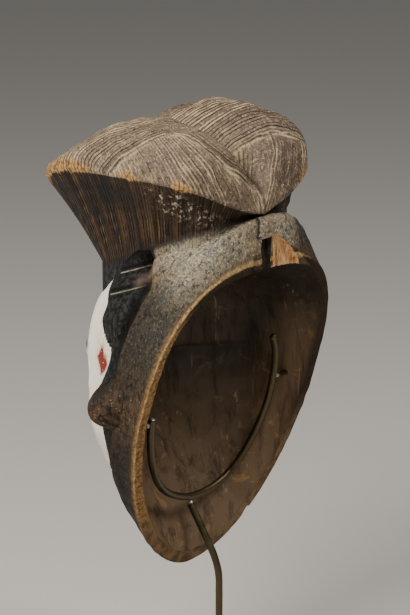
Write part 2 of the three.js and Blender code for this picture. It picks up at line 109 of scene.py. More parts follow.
# Coiffure
CROWN = 246.0
EDGE = dict(half=70.0, length=71.5, middle=-59.5)
NECK = dict(half=50.0, length=50.0, middle=-45.0)
NECK_SLOPE = 0.4
NECK_DROPS = (30.0, 9.0, 5.0, 4.0, 3.2, 2.4, 1.6, 0.8)
PEAK = CROWN + 64.0
EDGE_HEIGHT = CROWN + 29.0
FRONT_DROP = 22.0                         # how far the flared edge drops in front and behind
BACK_DROP = 10.0
VALLEY_DIP = 18.0
VALLEY_HALF = 34.0
LEFT_LOBE_LOWER = 4.0
DOME_POWER = 2.8
DOME_SPREAD = 88.0
SEAM_GAP = 3.6
FRONT_PITCH = 2.6
BACK_PITCH = 3.4
FLARE_PITCH = 2.7
LEFT_SEAM = [
    (1.01, 0.06), (0.97, 0.23), (0.91, 0.32), (0.81, 0.40), (0.69, 0.46), (0.62, 0.55),
    (0.59, 0.68), (0.56, 0.84), (0.45, 0.93), (0.28, 0.96), (0.06, 0.97),
]
RIGHT_SEAM = [
    (-0.02, 0.56), (-0.10, 0.62), (-0.18, 0.70), (-0.26, 0.76), (-0.38, 0.82),
    (-0.53, 0.87), (-0.72, 0.88), (-1.01, 0.84),
]

# Cradle
ROD_RADIUS = 2.4
PEG_RADIUS = 1.5
CRADLE_HALF = 68.0
CRADLE_BOTTOM = 46.0
CRADLE_INSET = 12.0
CRADLE_TURN = 0.05
PEG_HEIGHT = 118.0
PEG_SHARE = (0.98, 0.95)
PEG_COVER = 3.0
PEG_GAP = 0.3
SOLDER_GAP = 0.3
PEG_RISE = 72.0                           # the pegs' height in CRADLE_PLACES
CRADLE_PLACES = [
    (0.98, 76), (0.98, 72), (0.9, 54), (0.74, 33), (0.56, 19), (0.34, 9), (0.02, 1), (-0.3, 0),
    (-0.55, 5), (-0.72, 14), (-0.87, 30), (-0.96, 50), (-0.95, 72), (-0.88, 90), (-0.74, 106),
]
POST_Y = -24.0
POST_BEND = (4.0, 12.0)                   # its height, and its reach to either side
POST_FOOT = -105.7

# Crown
CROWN_SETBACK = 0.3
LIP_DEPTH = 22.0
LIP_OUTLINE = [(13, 213), (11, 233), (2, 236), (-9, 234), (-30, 221), (-48, 204), (-20, 213)]
SLOT = dict(low=(-5.0, -6.0, -14.0), high=(5.0, 6.0, 8.0))
FACET_OUTLINE = [(-6.5, 203), (-6.5, 234), (-14, 231), (-24, 223), (-33, 212.5), (-33, 202)]
FACET_DEPTH = 3.6
CHIP = dict(low=(-14.0, -30.0, -30.0), high=(0.0, 30.0, 0.0))


# Numbers on arrays

def ramp(value, low, high):
    """0 before low, 1 after high, and a smooth cubic step between."""
    share = np.clip((value - low) / (high - low), 0.0, 1.0)
    return share * share * (3.0 - 2.0 * share)


def bell(distance, width):
    """A bell curve: 1 at distance 0, falling as e to the minus square of distance over width."""
    return np.exp(-((distance / width) ** 2))


def round_spot(across, along):
    """A bell curve over two directions, each given in widths of the spot."""
    return bell(np.hypot(across, along), 1.0)


def ripple(points, size, seed, waves=9):
    """Smooth noise about one unit high: sine waves in random directions, about size long."""
    random = np.random.default_rng(seed)
    total = np.zeros(points.shape[:-1])
    for _ in range(waves):
        direction = random.normal(size=3)
        direction /= np.linalg.norm(direction)
        rate = 2.0 * math.pi / size * random.uniform(0.6, 1.5)
        total += np.sin(points @ direction * rate + random.uniform(0.0, 2.0 * math.pi))
    return total / math.sqrt(waves / 2.0)


def stack(x, y, z):
    """Three arrays made one array of points."""
    return np.stack(np.broadcast_arrays(x, y, z), axis=-1)


# The shell

def rim_y(z):
    """The rim's plane: it leans back as it rises."""
    return RIM_BOTTOM_Y + RIM_LEAN * z


def across_at(shape, share, right=False):
    """Half width at a share of the rise: a superellipse above, a keeled curve below.

    The jaw is cut a little fuller on the mask's right side than on its left.
    """
    above = shape["half"] * np.maximum(0.0, 1.0 - np.abs(share) ** shape["power"]) ** (1.0 / shape["power"])
    power = np.where(right, RIGHT_JAW[0], LEFT_JAW[0])
    fullness = np.where(right, RIGHT_JAW[1], LEFT_JAW[1])
    below = shape["half"] * np.maximum(0.0, 1.0 - np.abs(share) ** power) ** fullness
    return np.where(share > 0.0, above, below)


def outline(shape, turn):
    """A point of the outline seen from behind: turn 0 is the crown, half a turn the chin."""
    share = np.cos(turn)
    side = np.sign(np.sin(turn))
    rise = np.where(share > 0.0, shape["top"] - WIDEST, WIDEST - shape["chin"])
    return side * across_at(shape, share, side < 0.0), WIDEST + rise * share


def length_along(x, z):
    """Length added up along a line of points."""
    return np.concatenate([[0.0], np.cumsum(np.hypot(np.diff(x), np.diff(z)))])


def even_turns(shape, count):
    """Turns that lie evenly along an outline: its length is added up and read back."""
    fine = np.linspace(0.0, 2.0 * math.pi, count * 24 + 1)
    length = length_along(*outline(shape, fine))
    return np.interp(np.arange(count) * length[-1] / count, length, fine)


def nose(x, z):
    """A ridge that rises and widens downwards, with two small wings."""
    along = ramp(z, 154.0, 110.0) * ramp(z, 98.0, 105.0)
    width = 5.0 + 7.0 * ramp(z, 140.0, NOSE_TIP)
    wings = 4.0 * bell(np.abs(x) - 10.0, 5.0) * bell(z - NOSE_TIP, 6.0)
    return 17.0 * along * bell(x, width) + wings


def slit_height(side):
    """Height of the eye's narrow slit: lowest at the eye's middle."""
    return EYE_HEIGHT - 2.5 * bell(side, 10.0)


def eyes(x, z):
    """A shallow socket, a rounded lid over it and a narrow bowed slit."""
    side = np.abs(x) - EYE_SIDE
    socket = -5.0 * bell(side, 17.0) * bell(z - EYE_HEIGHT - 4.0, 11.0)
    lid = 6.0 * bell(side, 14.0) * bell(z - EYE_HEIGHT - 2.0, 8.0)
    slit = -2.4 * ramp(np.abs(side), 17.0, 13.0) * bell(z - slit_height(side), 1.5)
    return socket + lid + slit


def brow_height(x):
    """Height of the brow's arc: a parabola with its top beside the nose."""
    return BROW["height"] + BROW["rise"] * (1.0 - ((np.abs(x) - BROW["side"]) / BROW["side"]) ** 2)


def brows(x, z):
    """Two raised arcs."""
    return 2.5 * bell(z - brow_height(x), 3.2) * ramp(np.abs(x), 64.0, 54.0)


def mouth(x, z):
    """Two full lips, the upper one bowed, with a fine line between."""
    upper = 7.0 * bell(x, 17.0) * bell(z - MOUTH_HEIGHT - 5.0 + 0.02 * np.abs(x) ** 1.6, 4.0)
    lower = 7.0 * bell(x, 15.0) * bell(z - MOUTH_HEIGHT + 5.0, 4.2)
    line = -1.5 * ramp(np.abs(x), 22.0, 16.0) * bell(z - MOUTH_HEIGHT, 1.2)
    return upper + lower + line


def scales(x, z):
    """The forehead's lozenge of nine raised scales: three by three cushions in its own coordinates."""
    u = x / LOZENGE["half_x"]
    v = (z - LOZENGE["height"]) / LOZENGE["half_z"]
    a = (u + v) * 1.5
    b = (u - v) * 1.5
    inside = ramp(1.5 - np.maximum(np.abs(a), np.abs(b)), 0.0, 0.12)
    cushion = np.abs(np.cos(math.pi * a) * np.cos(math.pi * b)) ** 0.35
    return 1.6 * inside * cushion


def forehead(x, z):
    """A domed brow with a lozenge of scales."""
    return 4.0 * bell(x, 45.0) * bell(z - 180.0, 26.0) + scales(x, z)


def chin(x, z):
    """A rounded chin."""
    return 6.0 * bell(x, 20.0) * bell(z - CHIN_HEIGHT, 13.0)


def bowed_plane(z):
    """Depth of the face's plane: a parabola, furthest forward at its bow's height."""
    return FACE_Y + FACE_BOW * (z - FACE_BOW_HEIGHT) ** 2


def face_front(x, z):
    """The face's height field: a bowed plane with the features forward of it."""
    upper = nose(x, z) + eyes(x, z) + brows(x, z)
    return bowed_plane(z) - upper - mouth(x, z) - chin(x, z) - forehead(x, z)


def hollow_front(x, z):
    """The hollow's front wall: the same bowed plane, a wall's thickness back, with a ledge."""
    upright = ramp(z, LEDGE_HEIGHT - 0.5, LEDGE_HEIGHT + 2.0) * ramp(z, 195.0, 155.0)
    ledge = 6.0 * upright * ramp(x, -8.0, -24.0) * ramp(x, -74.0, -62.0)
    return bowed_plane(z) + FACE_WALL + ledge


def collar_end(z):
    """Width of the collar: wider beside the tresses, and wider again under the hair."""
    return 26.0 + 11.0 * ramp(z, 120.0, 170.0) + 12.0 * ramp(z, 205.0, 228.0)


def tress_place(depth, z):
    """1 on the side tress, fading at its borders, and the level that its bands follow."""
    from_collar = depth - collar_end(z)
    side = ramp(from_collar, 3.5, 6.5) * ramp(depth, TRESS_FRONT, TRESS_FRONT - 6.0)
    bottom = TRESS_BOTTOM + 0.15 * (depth - 40.0)
    return side * ramp(z, bottom, bottom + 9.0), z + NECK_SLOPE * depth


def tress_relief(depth, z):
    """The side tress: bands that step out as they rise, each leaning out towards its foot."""
    place, level = tress_place(depth, z)
    relief = 2.6
    for edge in BAND_LEVELS:
        relief = relief + 1.7 * ramp(level, edge - 0.6, edge + 0.6)
    for edge in BAND_LEVELS:
        relief = relief + 1.2 * bell(level - edge - 2.5, 3.0) - 1.3 * bell(level - edge + 1.6, 1.1)
    return place * relief


def side_relief(depth, z):
    """Relief outwards: the collar's step, the groove before the tress, and the tress."""
    end = collar_end(z)
    step = -COLLAR_STEP * ramp(depth, end - 1.5, end + 1.5)
    groove = -2.8 * ramp(z, 150.0, 180.0) * bell(depth - end - 2.5, 3.0)
    dip = -7.0 * ramp(z, 220.0, 232.0) * ramp(depth, 40.0, 48.0) * ramp(depth, 80.0, 64.0)
    return step + groove + dip + tress_relief(depth, z)


def no_relief(depth, z):
    """The hollow's wall has no collar and no tress."""
    return np.zeros(np.broadcast(depth, z).shape)


def bowl(shapes, blend, front, relief, turn, t):
    """A bowl from its rim (t = 0) to its pole (t = 1).

    Across and deep are the two arms of a superellipse; the outline blends from the rim's to
    the one just inside and then to the front one; the depth runs from the rim's plane to the
    front's height field.
    """
    up = np.maximum(0.0, np.cos(turn))
    down = np.maximum(0.0, -np.cos(turn))
    n = BOWL_POWER + 0.3 * up * up - 0.6 * down * down
    across = np.maximum(0.0, np.cos(t * math.pi / 2.0)) ** (2.0 / n)
    deep = np.sin(t * math.pi / 2.0) ** (2.0 / n)
    reach = blend[0] + (blend[1] - blend[0]) * up * up
    mix = ramp(deep / reach, 0.0, 1.0)
    fill = ramp(deep, 0.25, 0.5)
    (rim_x, rim_z), (near_x, near_z), (far_x, far_z) = (outline(shape, turn) for shape in shapes)
    in_x = near_x + (far_x - near_x) * fill
    in_z = near_z + (far_z - near_z) * fill
    x = across * (rim_x + (in_x - rim_x) * mix)
    rise = across * (rim_z + (in_z - rim_z) * mix - POLE)
    z = POLE + rise
    y = rim_y(z) + (front(x, z) - rim_y(z)) * deep
    size = np.maximum(1.0, np.hypot(x, rise))
    out = 1.0 + relief(rim_y(z) - y, z) * ramp(across, 0.35, 0.8) / size
    return stack(x * out, y, POLE + rise * out)


# Meshes

def unit(vectors):
    """Vectors scaled to length 1."""
    return vectors / np.linalg.norm(vectors, axis=-1, keepdims=True)


def link_object(name, data):
    """An object for a mesh, a light or a camera, put into the scene."""
    thing = bpy.data.objects.new(name, data)
    bpy.context.scene.collection.objects.link(thing)
    return thing


def write_share(mesh, name, values):
    """Stores a number for each point, which the finishes read by its name."""
    layer = mesh.attributes.new(name, "FLOAT", "POINT")
    layer.data.foreach_set("value", values.astype(np.float32))


def make_object(name, points, faces):
    """An object from points in the mask's frame in millimetres, and its faces."""
    mesh = bpy.data.meshes.new(name)
    mesh.from_pydata(((points + SHIFT) * MM).tolist(), [], faces)
    mesh.update()
    return link_object(name, mesh)


def ring_faces(rings, turns, first, last):
    """Quads between closed rings of points, with a fan to a pole at each end, as index lists."""
    ring = np.arange(rings - 1)[:, None] * turns
    here = np.arange(turns)[None, :]
    there = (here + 1) % turns
    quads = np.stack([ring + here, ring + turns + here, ring + turns + there, ring + there], axis=-1)
    start = np.stack([np.full(turns, first), here[0], there[0]], axis=-1)
    tail = (rings - 1) * turns
    end = np.stack([tail + here[0], np.full(turns, last), tail + there[0]], axis=-1)
    return quads.reshape(-1, 4), start, end


def closed_grid(name, rings, first_pole, last_pole):
    """A closed surface from rings of points between two poles, its faces turned outwards."""
    count, turns = rings.shape[:2]
    points = np.concatenate([rings.reshape(-1, 3), [first_pole], [last_pole]])
    quads, start, end = ring_faces(count, turns, len(points) - 2, len(points) - 1)
    corners = np.concatenate([quads[:, [0, 1, 2]], quads[:, [0, 2, 3]], start, end])
    a, b, c = (points[corners[:, k]] for k in range(3))
    if np.einsum("ij,ij->", a, np.cross(b, c)) < 0.0:
        quads, start, end = quads[:, ::-1], start[:, ::-1], end[:, ::-1]
    return make_object(name, points, quads.tolist() + start.tolist() + end.tolist())


def turns_of(count):
    """Angles evenly round a full turn."""
    return np.arange(count) * 2.0 * math.pi / count


def rim_face(corner, share):
    """A ring on the rim's flat face: the outer corner drawn in towards the pole."""
    x = corner[..., 0] * share
    z = POLE + (corner[..., 2] - POLE) * share
    return stack(x, rim_y(z), z)


def build_shell():
    """The outer wood: flat behind, from the rim's outline round to the nose."""
    turns = even_turns(RIM, SHELL_TURNS)[None, :]
    t = (np.arange(SHELL_RINGS) / SHELL_RINGS)[:, None]
    points = bowl((RIM, SHOULDER, TEMPLE), (0.2, 0.09), face_front, side_relief, turns, t)
    outward = unit(points - SHELL_MIDDLE)
    uneven = 0.5 * ripple(points, 38.0, 3) + 0.22 * ripple(points, 13.0, 4)
    points += outward * (uneven * ramp(t, 0.0, 0.05))[..., None]
    face = np.concatenate([rim_face(points[:1], share) for share in RIM_SHARES])
    face[..., 1] += 0.2 * ripple(face, 14.0, 6)
    points[0] = rim_face(points[0], CORNER_SHARE) - [0.0, CORNER_STEP, 0.0]
    tip = [0.0, float(face_front(np.array(0.0), np.array(POLE))), POLE]
    return closed_grid("mask", np.concatenate([face, points]), [0.0, rim_y(POLE), POLE], tip)


def build_hollow():
    """The space that the carver took out, reaching past the rim, with shallow tool facets."""
    turns = even_turns(HOLLOW, HOLLOW_TURNS)[None, :]
    t = (np.arange(HOLLOW_RINGS) / HOLLOW_RINGS)[:, None] ** 1.1
    points = bowl((HOLLOW, INNER, INNER), (0.3, 0.3), hollow_front, no_relief, turns, t)
    outward = unit(points - HOLLOW_MIDDLE)
    facets = 0.55 * np.abs(ripple(points * [1.0, 1.0, 0.45], 26.0, 7)) + 0.3 * ripple(points, 12.0, 8)
    points += outward * (facets * ramp(t, 0.0, 0.25))[..., None]
    rings = np.concatenate([points[:1] + [0.0, BEYOND_RIM, 0.0], points])
    back = [0.0, rim_y(POLE) + BEYOND_RIM, POLE]
    return closed_grid("hollow", rings, back, [0.0, float(hollow_front(0.0, POLE)), POLE])


# The coiffure

def rounded(angle, shape):
    """A rounded rectangle seen from above; angle 0 points to the back."""
    across = np.abs(np.sin(angle)) / shape["half"]
    along = np.abs(np.cos(angle)) / shape["length"]
    radius = (across ** 4 + along ** 4) ** -0.25
    return radius * np.sin(angle), shape["middle"] + radius * np.cos(angle)


def edge_point(angle):
    """The flared edge: highest at the sides, dropping to the front and to the valley behind."""
    x, y = rounded(angle, EDGE)
    share = (y - EDGE["middle"]) / EDGE["length"]
    drop = np.where(share > 0.0, BACK_DROP, FRONT_DROP)
    reach = np.maximum(0.0, 1.0 - np.abs(x) / (EDGE["half"] * 0.86))
    dip = VALLEY_DIP * np.maximum(0.0, share) ** 8 * reach
    return x, y, EDGE_HEIGHT - drop * share ** 4 - dip


def neck_height(y):
    """Height of the line where the coiffure springs from the head: it rises to the back."""
    return CROWN + NECK_SLOPE * (y - NECK["middle"] - NECK["length"])


def neck_point(angle):
    """A point of that line, a rounded rectangle seen from above."""
    x, y = rounded(angle, NECK)
    return x, y, neck_height(y)


def peak_height(x, y):
    """Height of the lobes' crests, less the sharp valley between them."""
    ahead = np.maximum(0.0, -45.0 - y)
    valley = np.maximum(0.0, 1.0 - np.abs(x) / VALLEY_HALF) ** 2
    deep = np.maximum(0.0, 16.0 + 0.37 * (y - EDGE["middle"]))
    return PEAK - LEFT_LOBE_LOWER * ramp(x, 0.0, 30.0) - 0.0055 * ahead * ahead - deep * valley


def dome_point(angle, t):
    """The top, from the edge (t = 0) to the middle (t = 1), along a superellipse."""
    edge_x, edge_y, edge_z = edge_point(angle)
    across = np.maximum(0.0, np.cos(t * math.pi / 2.0)) ** (2.0 / DOME_POWER)
    up = np.sin(t * math.pi / 2.0) ** (2.0 / DOME_POWER)
    x = across * edge_x
    y = EDGE["middle"] + across * (edge_y - EDGE["middle"])
    return x, y, edge_z + (peak_height(x, y) - edge_z) * up


def smooth_path(places, steps):
    """A centripetal Catmull-Rom curve through places, steps points a span and the last one."""
    spots = np.array(places, dtype=float)
    spots = np.concatenate([[2.0 * spots[0] - spots[1]], spots, [2.0 * spots[-1] - spots[-2]]])
    share = (np.arange(steps) / steps)[:, None]
    spans = []
    for a, b, c, d in zip(spots[:-3], spots[1:-2], spots[2:-1], spots[3:]):
        before, here, after = (np.linalg.norm(gap) ** 0.5 for gap in (b - a, c - b, d - c))
        start = (c - b) + here * ((b - a) / before - (c - a) / (before + here))
        end = (c - b) + here * ((d - c) / after - (d - b) / (here + after))
        cubic = 2.0 * (b - c) + start + end
        square = 3.0 * (c - b) - 2.0 * start - end
        spans.append(b + share * start + share ** 2 * square + share ** 3 * cubic)
    return np.concatenate(spans + [spots[-2:-1]])


def from_middle(x, y):
    """A place seen from above the coiffure's middle: its angle and distance, and the flared
    edge's distance and height at that angle."""
    angle = np.arctan2(x, y - EDGE["middle"])
    edge_x, edge_y, edge_z = edge_point(angle)
    edge_reach = np.hypot(edge_x, edge_y - EDGE["middle"])
    return angle, np.hypot(x, y - EDGE["middle"]), edge_reach, edge_z


def dome_height(x, y):
    """Height of the dome above a place inside the flared edge."""
    angle, reach, edge_reach, _ = from_middle(x, y)
    share = np.minimum(1.0, reach / edge_reach)
    return dome_point(angle, np.arccos(share ** (DOME_POWER / 2.0)) * 2.0 / math.pi)[2]


def line_distance(spot, places):
    """Signed distance in space to a curved line laid over the dome, positive ahead of it."""
    plan = smooth_path(np.array(places) * [EDGE["half"], EDGE["length"]] + [0.0, EDGE["middle"]], 3)
    line = stack(plan[:, 0], plan[:, 1], dome_height(plan[:, 0], plan[:, 1]))
    outward = spot * [0.011, 0.011, 0.0] + [0.0, -0.011 * EDGE["middle"], 0.6]
    best = np.full(spot.shape[:-1], 1e9)
    sign = np.ones_like(best)
    for start, end in zip(line[:-1], line[1:]):
        along = end - start
        share = np.clip(((spot - start) @ along) / (along @ along), 0.0, 1.0)
        gap = spot - start - share[..., None] * along
        distance = np.linalg.norm(gap, axis=-1)
        side = np.einsum("...i,...i->...", np.cross(along, gap), outward)
        closer = distance < best - 1e-6
        best = np.where(closer, distance, best)
        sign = np.where(closer, np.where(side >= 0.0, 1.0, -1.0), sign)
    return best * sign


def seam_distance(spot):
    """Signed distance to the lobe's own seam: positive ahead of it, negative behind."""
    return np.where(spot[..., 0] > 0.0, line_distance(spot, LEFT_SEAM), line_distance(spot, RIGHT_SEAM))


def strand_profile(phase, seed):
    """Rounded strands with narrow grooves at whole numbers, each strand its own height."""
    random = np.random.default_rng(seed)
    heights = random.uniform(-0.4, 0.4, 512)
    ridge = np.abs(np.sin(math.pi * phase)) ** 0.6
    return ridge - 1.0 + heights[np.mod(np.floor(phase).astype(int), 512)] * ridge


def strand_phases(x, y, z):
    """The seam's distance, and strand numbers: from the seam ahead of it, outwards behind it."""
    spot = stack(x, y, z)
    wander = 0.16 * ripple(spot, 50.0, 11) + 0.06 * ripple(spot, 18.0, 12)
    seam = seam_distance(spot)
    angle, reach, edge_reach, edge_z = from_middle(x, y)
    round_edge = flare_phase(angle) * FLARE_PITCH
    combed = round_edge - 0.55 * np.maximum(z - edge_z, 0.0) - 0.7 * (edge_reach - reach)
    return seam, seam / FRONT_PITCH + wander, combed / BACK_PITCH + 1.5 * wander


def flare_phase(angle):
    """Strand number on the underside: length round the flared edge, from the back."""
    fine = np.linspace(0.0, math.pi, 1200)
    x, y, _ = edge_point(fine)
    return np.interp(np.abs(angle), fine, length_along(x, y)) / FLARE_PITCH


def top_relief(x, y, z):
    """Relief of the combed top: strands, the doubled seam and the valley's creases."""
    seam, front, back = strand_phases(x, y, z)
    worn = np.clip(0.8 + 0.3 * ripple(stack(x, y, z), 30.0, 13), 0.3, 1.1)
    strands = np.where(seam > 0.0, 0.5 * strand_profile(front, 21), 0.26 * strand_profile(back, 22))
    groove = -0.5 * bell(seam, 1.5) - 0.4 * bell(seam - SEAM_GAP, 1.3) - 0.25 * bell(seam, 4.0)
    behind = ramp(y, -40.0, -5.0)
    valley = -0.5 * bell(x + 1.5, 1.2) - behind * (0.5 * bell(x - 2.5, 1.1) + 0.4 * bell(x + 6.0, 1.2))
    return strands * worn * ramp(np.abs(seam), 0.3, 1.6) + groove + valley + 0.2 * bell(x - 0.8, 1.2)


def flare_rings(turns):
    """The neck's rings, sunk into the head, and the flare's, hollowed and strung with strands."""
    signed = np.where(turns > math.pi, turns - 2.0 * math.pi, turns)
    neck = stack(*neck_point(turns))
    edge = stack(*edge_point(turns))
    rings = [neck - [0.0, 0.0, drop] for drop in NECK_DROPS]
    inward = unit([0.0, EDGE["middle"], 0.0] - edge * [1.0, 1.0, 0.0])
    tall = ramp(edge[..., 2] - neck[..., 2], 5.0, 25.0)
    strands = 0.55 * strand_profile(flare_phase(signed), 23) * tall
    for share in np.arange(FLARE_RINGS) / FLARE_RINGS:
        ring = neck + (edge - neck) * share
        crumbs = 0.7 * ripple(ring, 9.0, 17) * bell(ring[..., 1] + 12.0, 30.0)
        hollowed = 2.0 * math.sin(math.pi * share) * tall
        lift = hollowed - strands * (0.3 + 0.7 * ramp(share, 0.0, 0.2)) - crumbs
        rings.append(ring + inward * lift[..., None])
    return rings


def dome_rings(turns):
    """The two-lobed top's rings, lumpy and combed, moved out along a rough normal."""
    t = (np.arange(DOME_RINGS) / DOME_RINGS)[:, None] ** 1.12
    x, y, z = np.broadcast_arrays(*dome_point(turns, t))
    dome = stack(x, y, z)
    outward = unit(stack(x / DOME_SPREAD, (y - EDGE["middle"]) / DOME_SPREAD, 0.25 + 1.2 * t))
    lumps = 0.5 * ripple(dome, 34.0, 14) + 0.25 * ripple(dome, 11.0, 16)
    lift = top_relief(x, y, z) * ramp(t, 0.0, 0.03) + lumps * ramp(t, 0.0, 0.1)
    return dome + outward * lift[..., None]


def build_hair():
    """The coiffure: neck, flare and two-lobed top in one closed surface of rings."""
    turns = turns_of(HAIR_TURNS)[None, :]
    rings = np.concatenate(flare_rings(turns) + [dome_rings(turns)])
    below = [0.0, NECK["middle"], CROWN - NECK_SLOPE * NECK["length"] - NECK_DROPS[0]]
    above = [0.0, EDGE["middle"], float(peak_height(0.0, EDGE["middle"]))]
    return closed_grid("hair", rings, below, above)


# Ears and old damage

def wall_x(shape, y, z):
    """Half width of the shell at one depth and height, near its widest level."""
    rise = shape["top"] - WIDEST if z > WIDEST else WIDEST - shape["chin"]
    deep = max(0.0, (rim_y(z) - y) / (rim_y(z) - FACE_Y))
    across = float(across_at(shape, np.array((z - WIDEST) / rise)))
    return across * (1.0 - deep ** BOWL_POWER) ** (1.0 / BOWL_POWER)


def build_ear(side):
    """A blunt cone turned about X, its tip drooping and swept forward."""
    share = np.linspace(0.0, 1.0, 26)[:, None]
    turns = turns_of(64)[None, :]
    blunt = EAR_TIP_RADIUS * np.sqrt(np.maximum(0.0, 1.0 - share ** 6)) * share
    swell = EAR_RADIUS * (1.0 - share) ** 0.9 + blunt
    out = EAR_SUNK * 0.7 + (EAR_REACH + EAR_SUNK * 0.3) * share
    cone = stack(out, swell * np.cos(turns), swell * np.sin(turns))
    rings = np.concatenate([cone[:1] * [0.0, 1.0, 1.0], cone[:-1]])
    middle_y = rim_y(EAR_HEIGHT) - EAR_FORWARD
    foot = wall_x(SHOULDER, middle_y, EAR_HEIGHT) - COLLAR_STEP - EAR_SUNK
    bend = ramp(rings[..., 0], EAR_SUNK * 0.5, EAR_SUNK + EAR_REACH)
    rough = 1.0 + 0.35 * ripple(rings, 9.0, 31) / EAR_RADIUS
    y = middle_y + rings[..., 1] * rough - EAR_SWEEP * bend
    z = EAR_HEIGHT + rings[..., 2] * rough - EAR_DROOP * bend
    tip = [side * (foot + EAR_SUNK + EAR_REACH), middle_y - EAR_SWEEP, EAR_HEIGHT - EAR_DROOP]
    root = [side * foot, middle_y, EAR_HEIGHT]
    return closed_grid("ear", stack(side * (foot + rings[..., 0]), y, z), root, tip)


def turned(points, tilt, turn):
    """Points turned about X by tilt, then about Y by turn."""
    x, y, z = np.moveaxis(points, -1, 0)
    y, z = y * math.cos(tilt) - z * math.sin(tilt), y * math.sin(tilt) + z * math.cos(tilt)
    x, z = x * math.cos(turn) + z * math.sin(turn), z * math.cos(turn) - x * math.sin(turn)
    return stack(x, y, z)


def build_block(name, low, high, place, tilt=0.0, turn=0.0, grain=0.4, seed=1):
    """A box between two corners, as rings round Z with a fibrous relief on its sides."""
    low, high = np.array(low), np.array(high)
    half, middle = (high - low) / 2.0, (high + low) / 2.0
    angle = turns_of(96)[None, :]
    square = (np.abs(np.cos(angle)) ** 16 + np.abs(np.sin(angle)) ** 16) ** (-1.0 / 16.0)
    level = np.linspace(-1.0, 1.0, 40)[:, None]
    ring = stack(square * np.cos(angle), square * np.sin(angle), level) * half + middle
    fibres = grain * ripple(ring * [1.0, 1.0, 0.2], 3.0, seed) + 0.5 * grain * ripple(ring, 8.0, seed + 1)
    ring += fibres[..., None] * [1.0, 1.0, 0.0]
    ends = middle + np.array([[0.0, 0.0, -1.0], [0.0, 0.0, 1.0]]) * half
    ring = turned(ring, tilt, turn) + place
    ends = turned(ends, tilt, turn) + place
    return closed_grid(name, ring, ends[0], ends[1])


def outline_rings(spots, count, depth, share):
    """Rings of an outline in X and Z, and the pole at each end of them.

    Each ring lies at its depth in front of the crown's back face, and its points are drawn in
    to a share of their distance from the outline's middle.
    """
    x, z = np.array(spots + spots[:1], dtype=float).T
    middle_x, middle_z = np.array(spots, dtype=float).mean(axis=0)
    length = length_along(x, z)
    along = np.arange(count) * length[-1] / count
    x, z = (np.interp(along, length, line)[None, :] for line in (x, z))
    y = rim_y(RIM["top"]) - CROWN_SETBACK - depth
    rings = stack(middle_x + (x - middle_x) * share, y, middle_z + (z - middle_z) * share)
    return rings, [middle_x, y[0, 0], middle_z], [middle_x, y[-1, 0], middle_z]


def build_lip():
    """The crown's taller back face: an outline in X and Z, drawn forward along -Y."""
    depth = np.linspace(0.0, LIP_DEPTH, 26)[:, None]
    rings, behind, ahead = outline_rings(LIP_OUTLINE, 160, depth, 1.0 - 0.05 * bell(depth, 1.2))
    rings += (0.35 * ripple(rings, 9.0, 41))[..., None] * [0.0, 0.0, 1.0]
    return closed_grid("lip", rings, behind, ahead)


def build_facet():
    """The broken corner of the crown: an outline in X and Z cut forward to a splintered floor."""
    depth = np.append(np.linspace(-6.0, FACET_DEPTH, 12), np.full(16, FACET_DEPTH))[:, None]
    share = np.append(np.ones(12), np.linspace(0.95, 0.08, 16))[:, None]
    rings, behind, ahead = outline_rings(FACET_OUTLINE, 140, depth, share)
    splinters = 0.5 * ripple(rings * [1.0, 1.0, 0.15], 4.5, 43)
    splinters = splinters + 0.3 * ripple(rings * [1.0, 1.0, 0.3], 2.2, 44)
    rings += splinters[..., None] * [0.6, 1.0, 0.0] * ramp(depth, -2.0, FACET_DEPTH)[..., None]
    return closed_grid("facet", rings, behind, ahead)


def cradle_y(x, z):
    """The cradle's plane: it leans with the rim and is turned a little about the vertical."""
    return rim_y(z) - CRADLE_INSET + CRADLE_TURN * x


def peg_span(side):
    """A peg's depth, and where it starts and ends across: at the cradle and inside the wall."""
    y = cradle_y(side * CRADLE_HALF, PEG_HEIGHT)
    start = CRADLE_HALF * (PEG_SHARE[0] if side > 0.0 else PEG_SHARE[1])
    return y, start, wall_x(RIM, y, PEG_HEIGHT) - PEG_COVER


def build_peg_hole(side):
    """A round hole across the wall for the peg, a little wider than it."""
    y, start, end = peg_span(side)
    angle = turns_of(24)[None, :]
    along = np.linspace(start, end, 8)[:, None]
    radius = PEG_RADIUS + PEG_GAP
    rings = stack(side * along, y + radius * np.cos(angle), PEG_HEIGHT + radius * np.sin(angle))
    return closed_grid("peg_hole", rings, [side * start, y, PEG_HEIGHT], [side * end, y, PEG_HEIGHT])


def combine(base, other, operation):
    """Joins or cuts two closed meshes, and removes the second one."""
    modifier = base.modifiers.new(operation.lower(), "BOOLEAN")
    modifier.operation = operation
    modifier.solver = "MANIFOLD"
    modifier.object = other
    modifier.material_mode = "TRANSFER"
    bpy.context.view_layer.update()
    whole = base.evaluated_get(bpy.context.evaluated_depsgraph_get())
    mesh = bpy.data.meshes.new_from_object(whole)
    base.modifiers.clear()
    base.data = mesh
    bpy.data.objects.remove(other)


def tone(red, green, blue):
    """A colour as seen on a screen, 0 to 255, made linear."""
    share = np.array([red, green, blue]) / 255.0
    linear = np.where(share <= 0.04045, share / 12.92, ((share + 0.055) / 1.055) ** 2.4)
    return (*linear.tolist(), 1.0)


# Node helpers

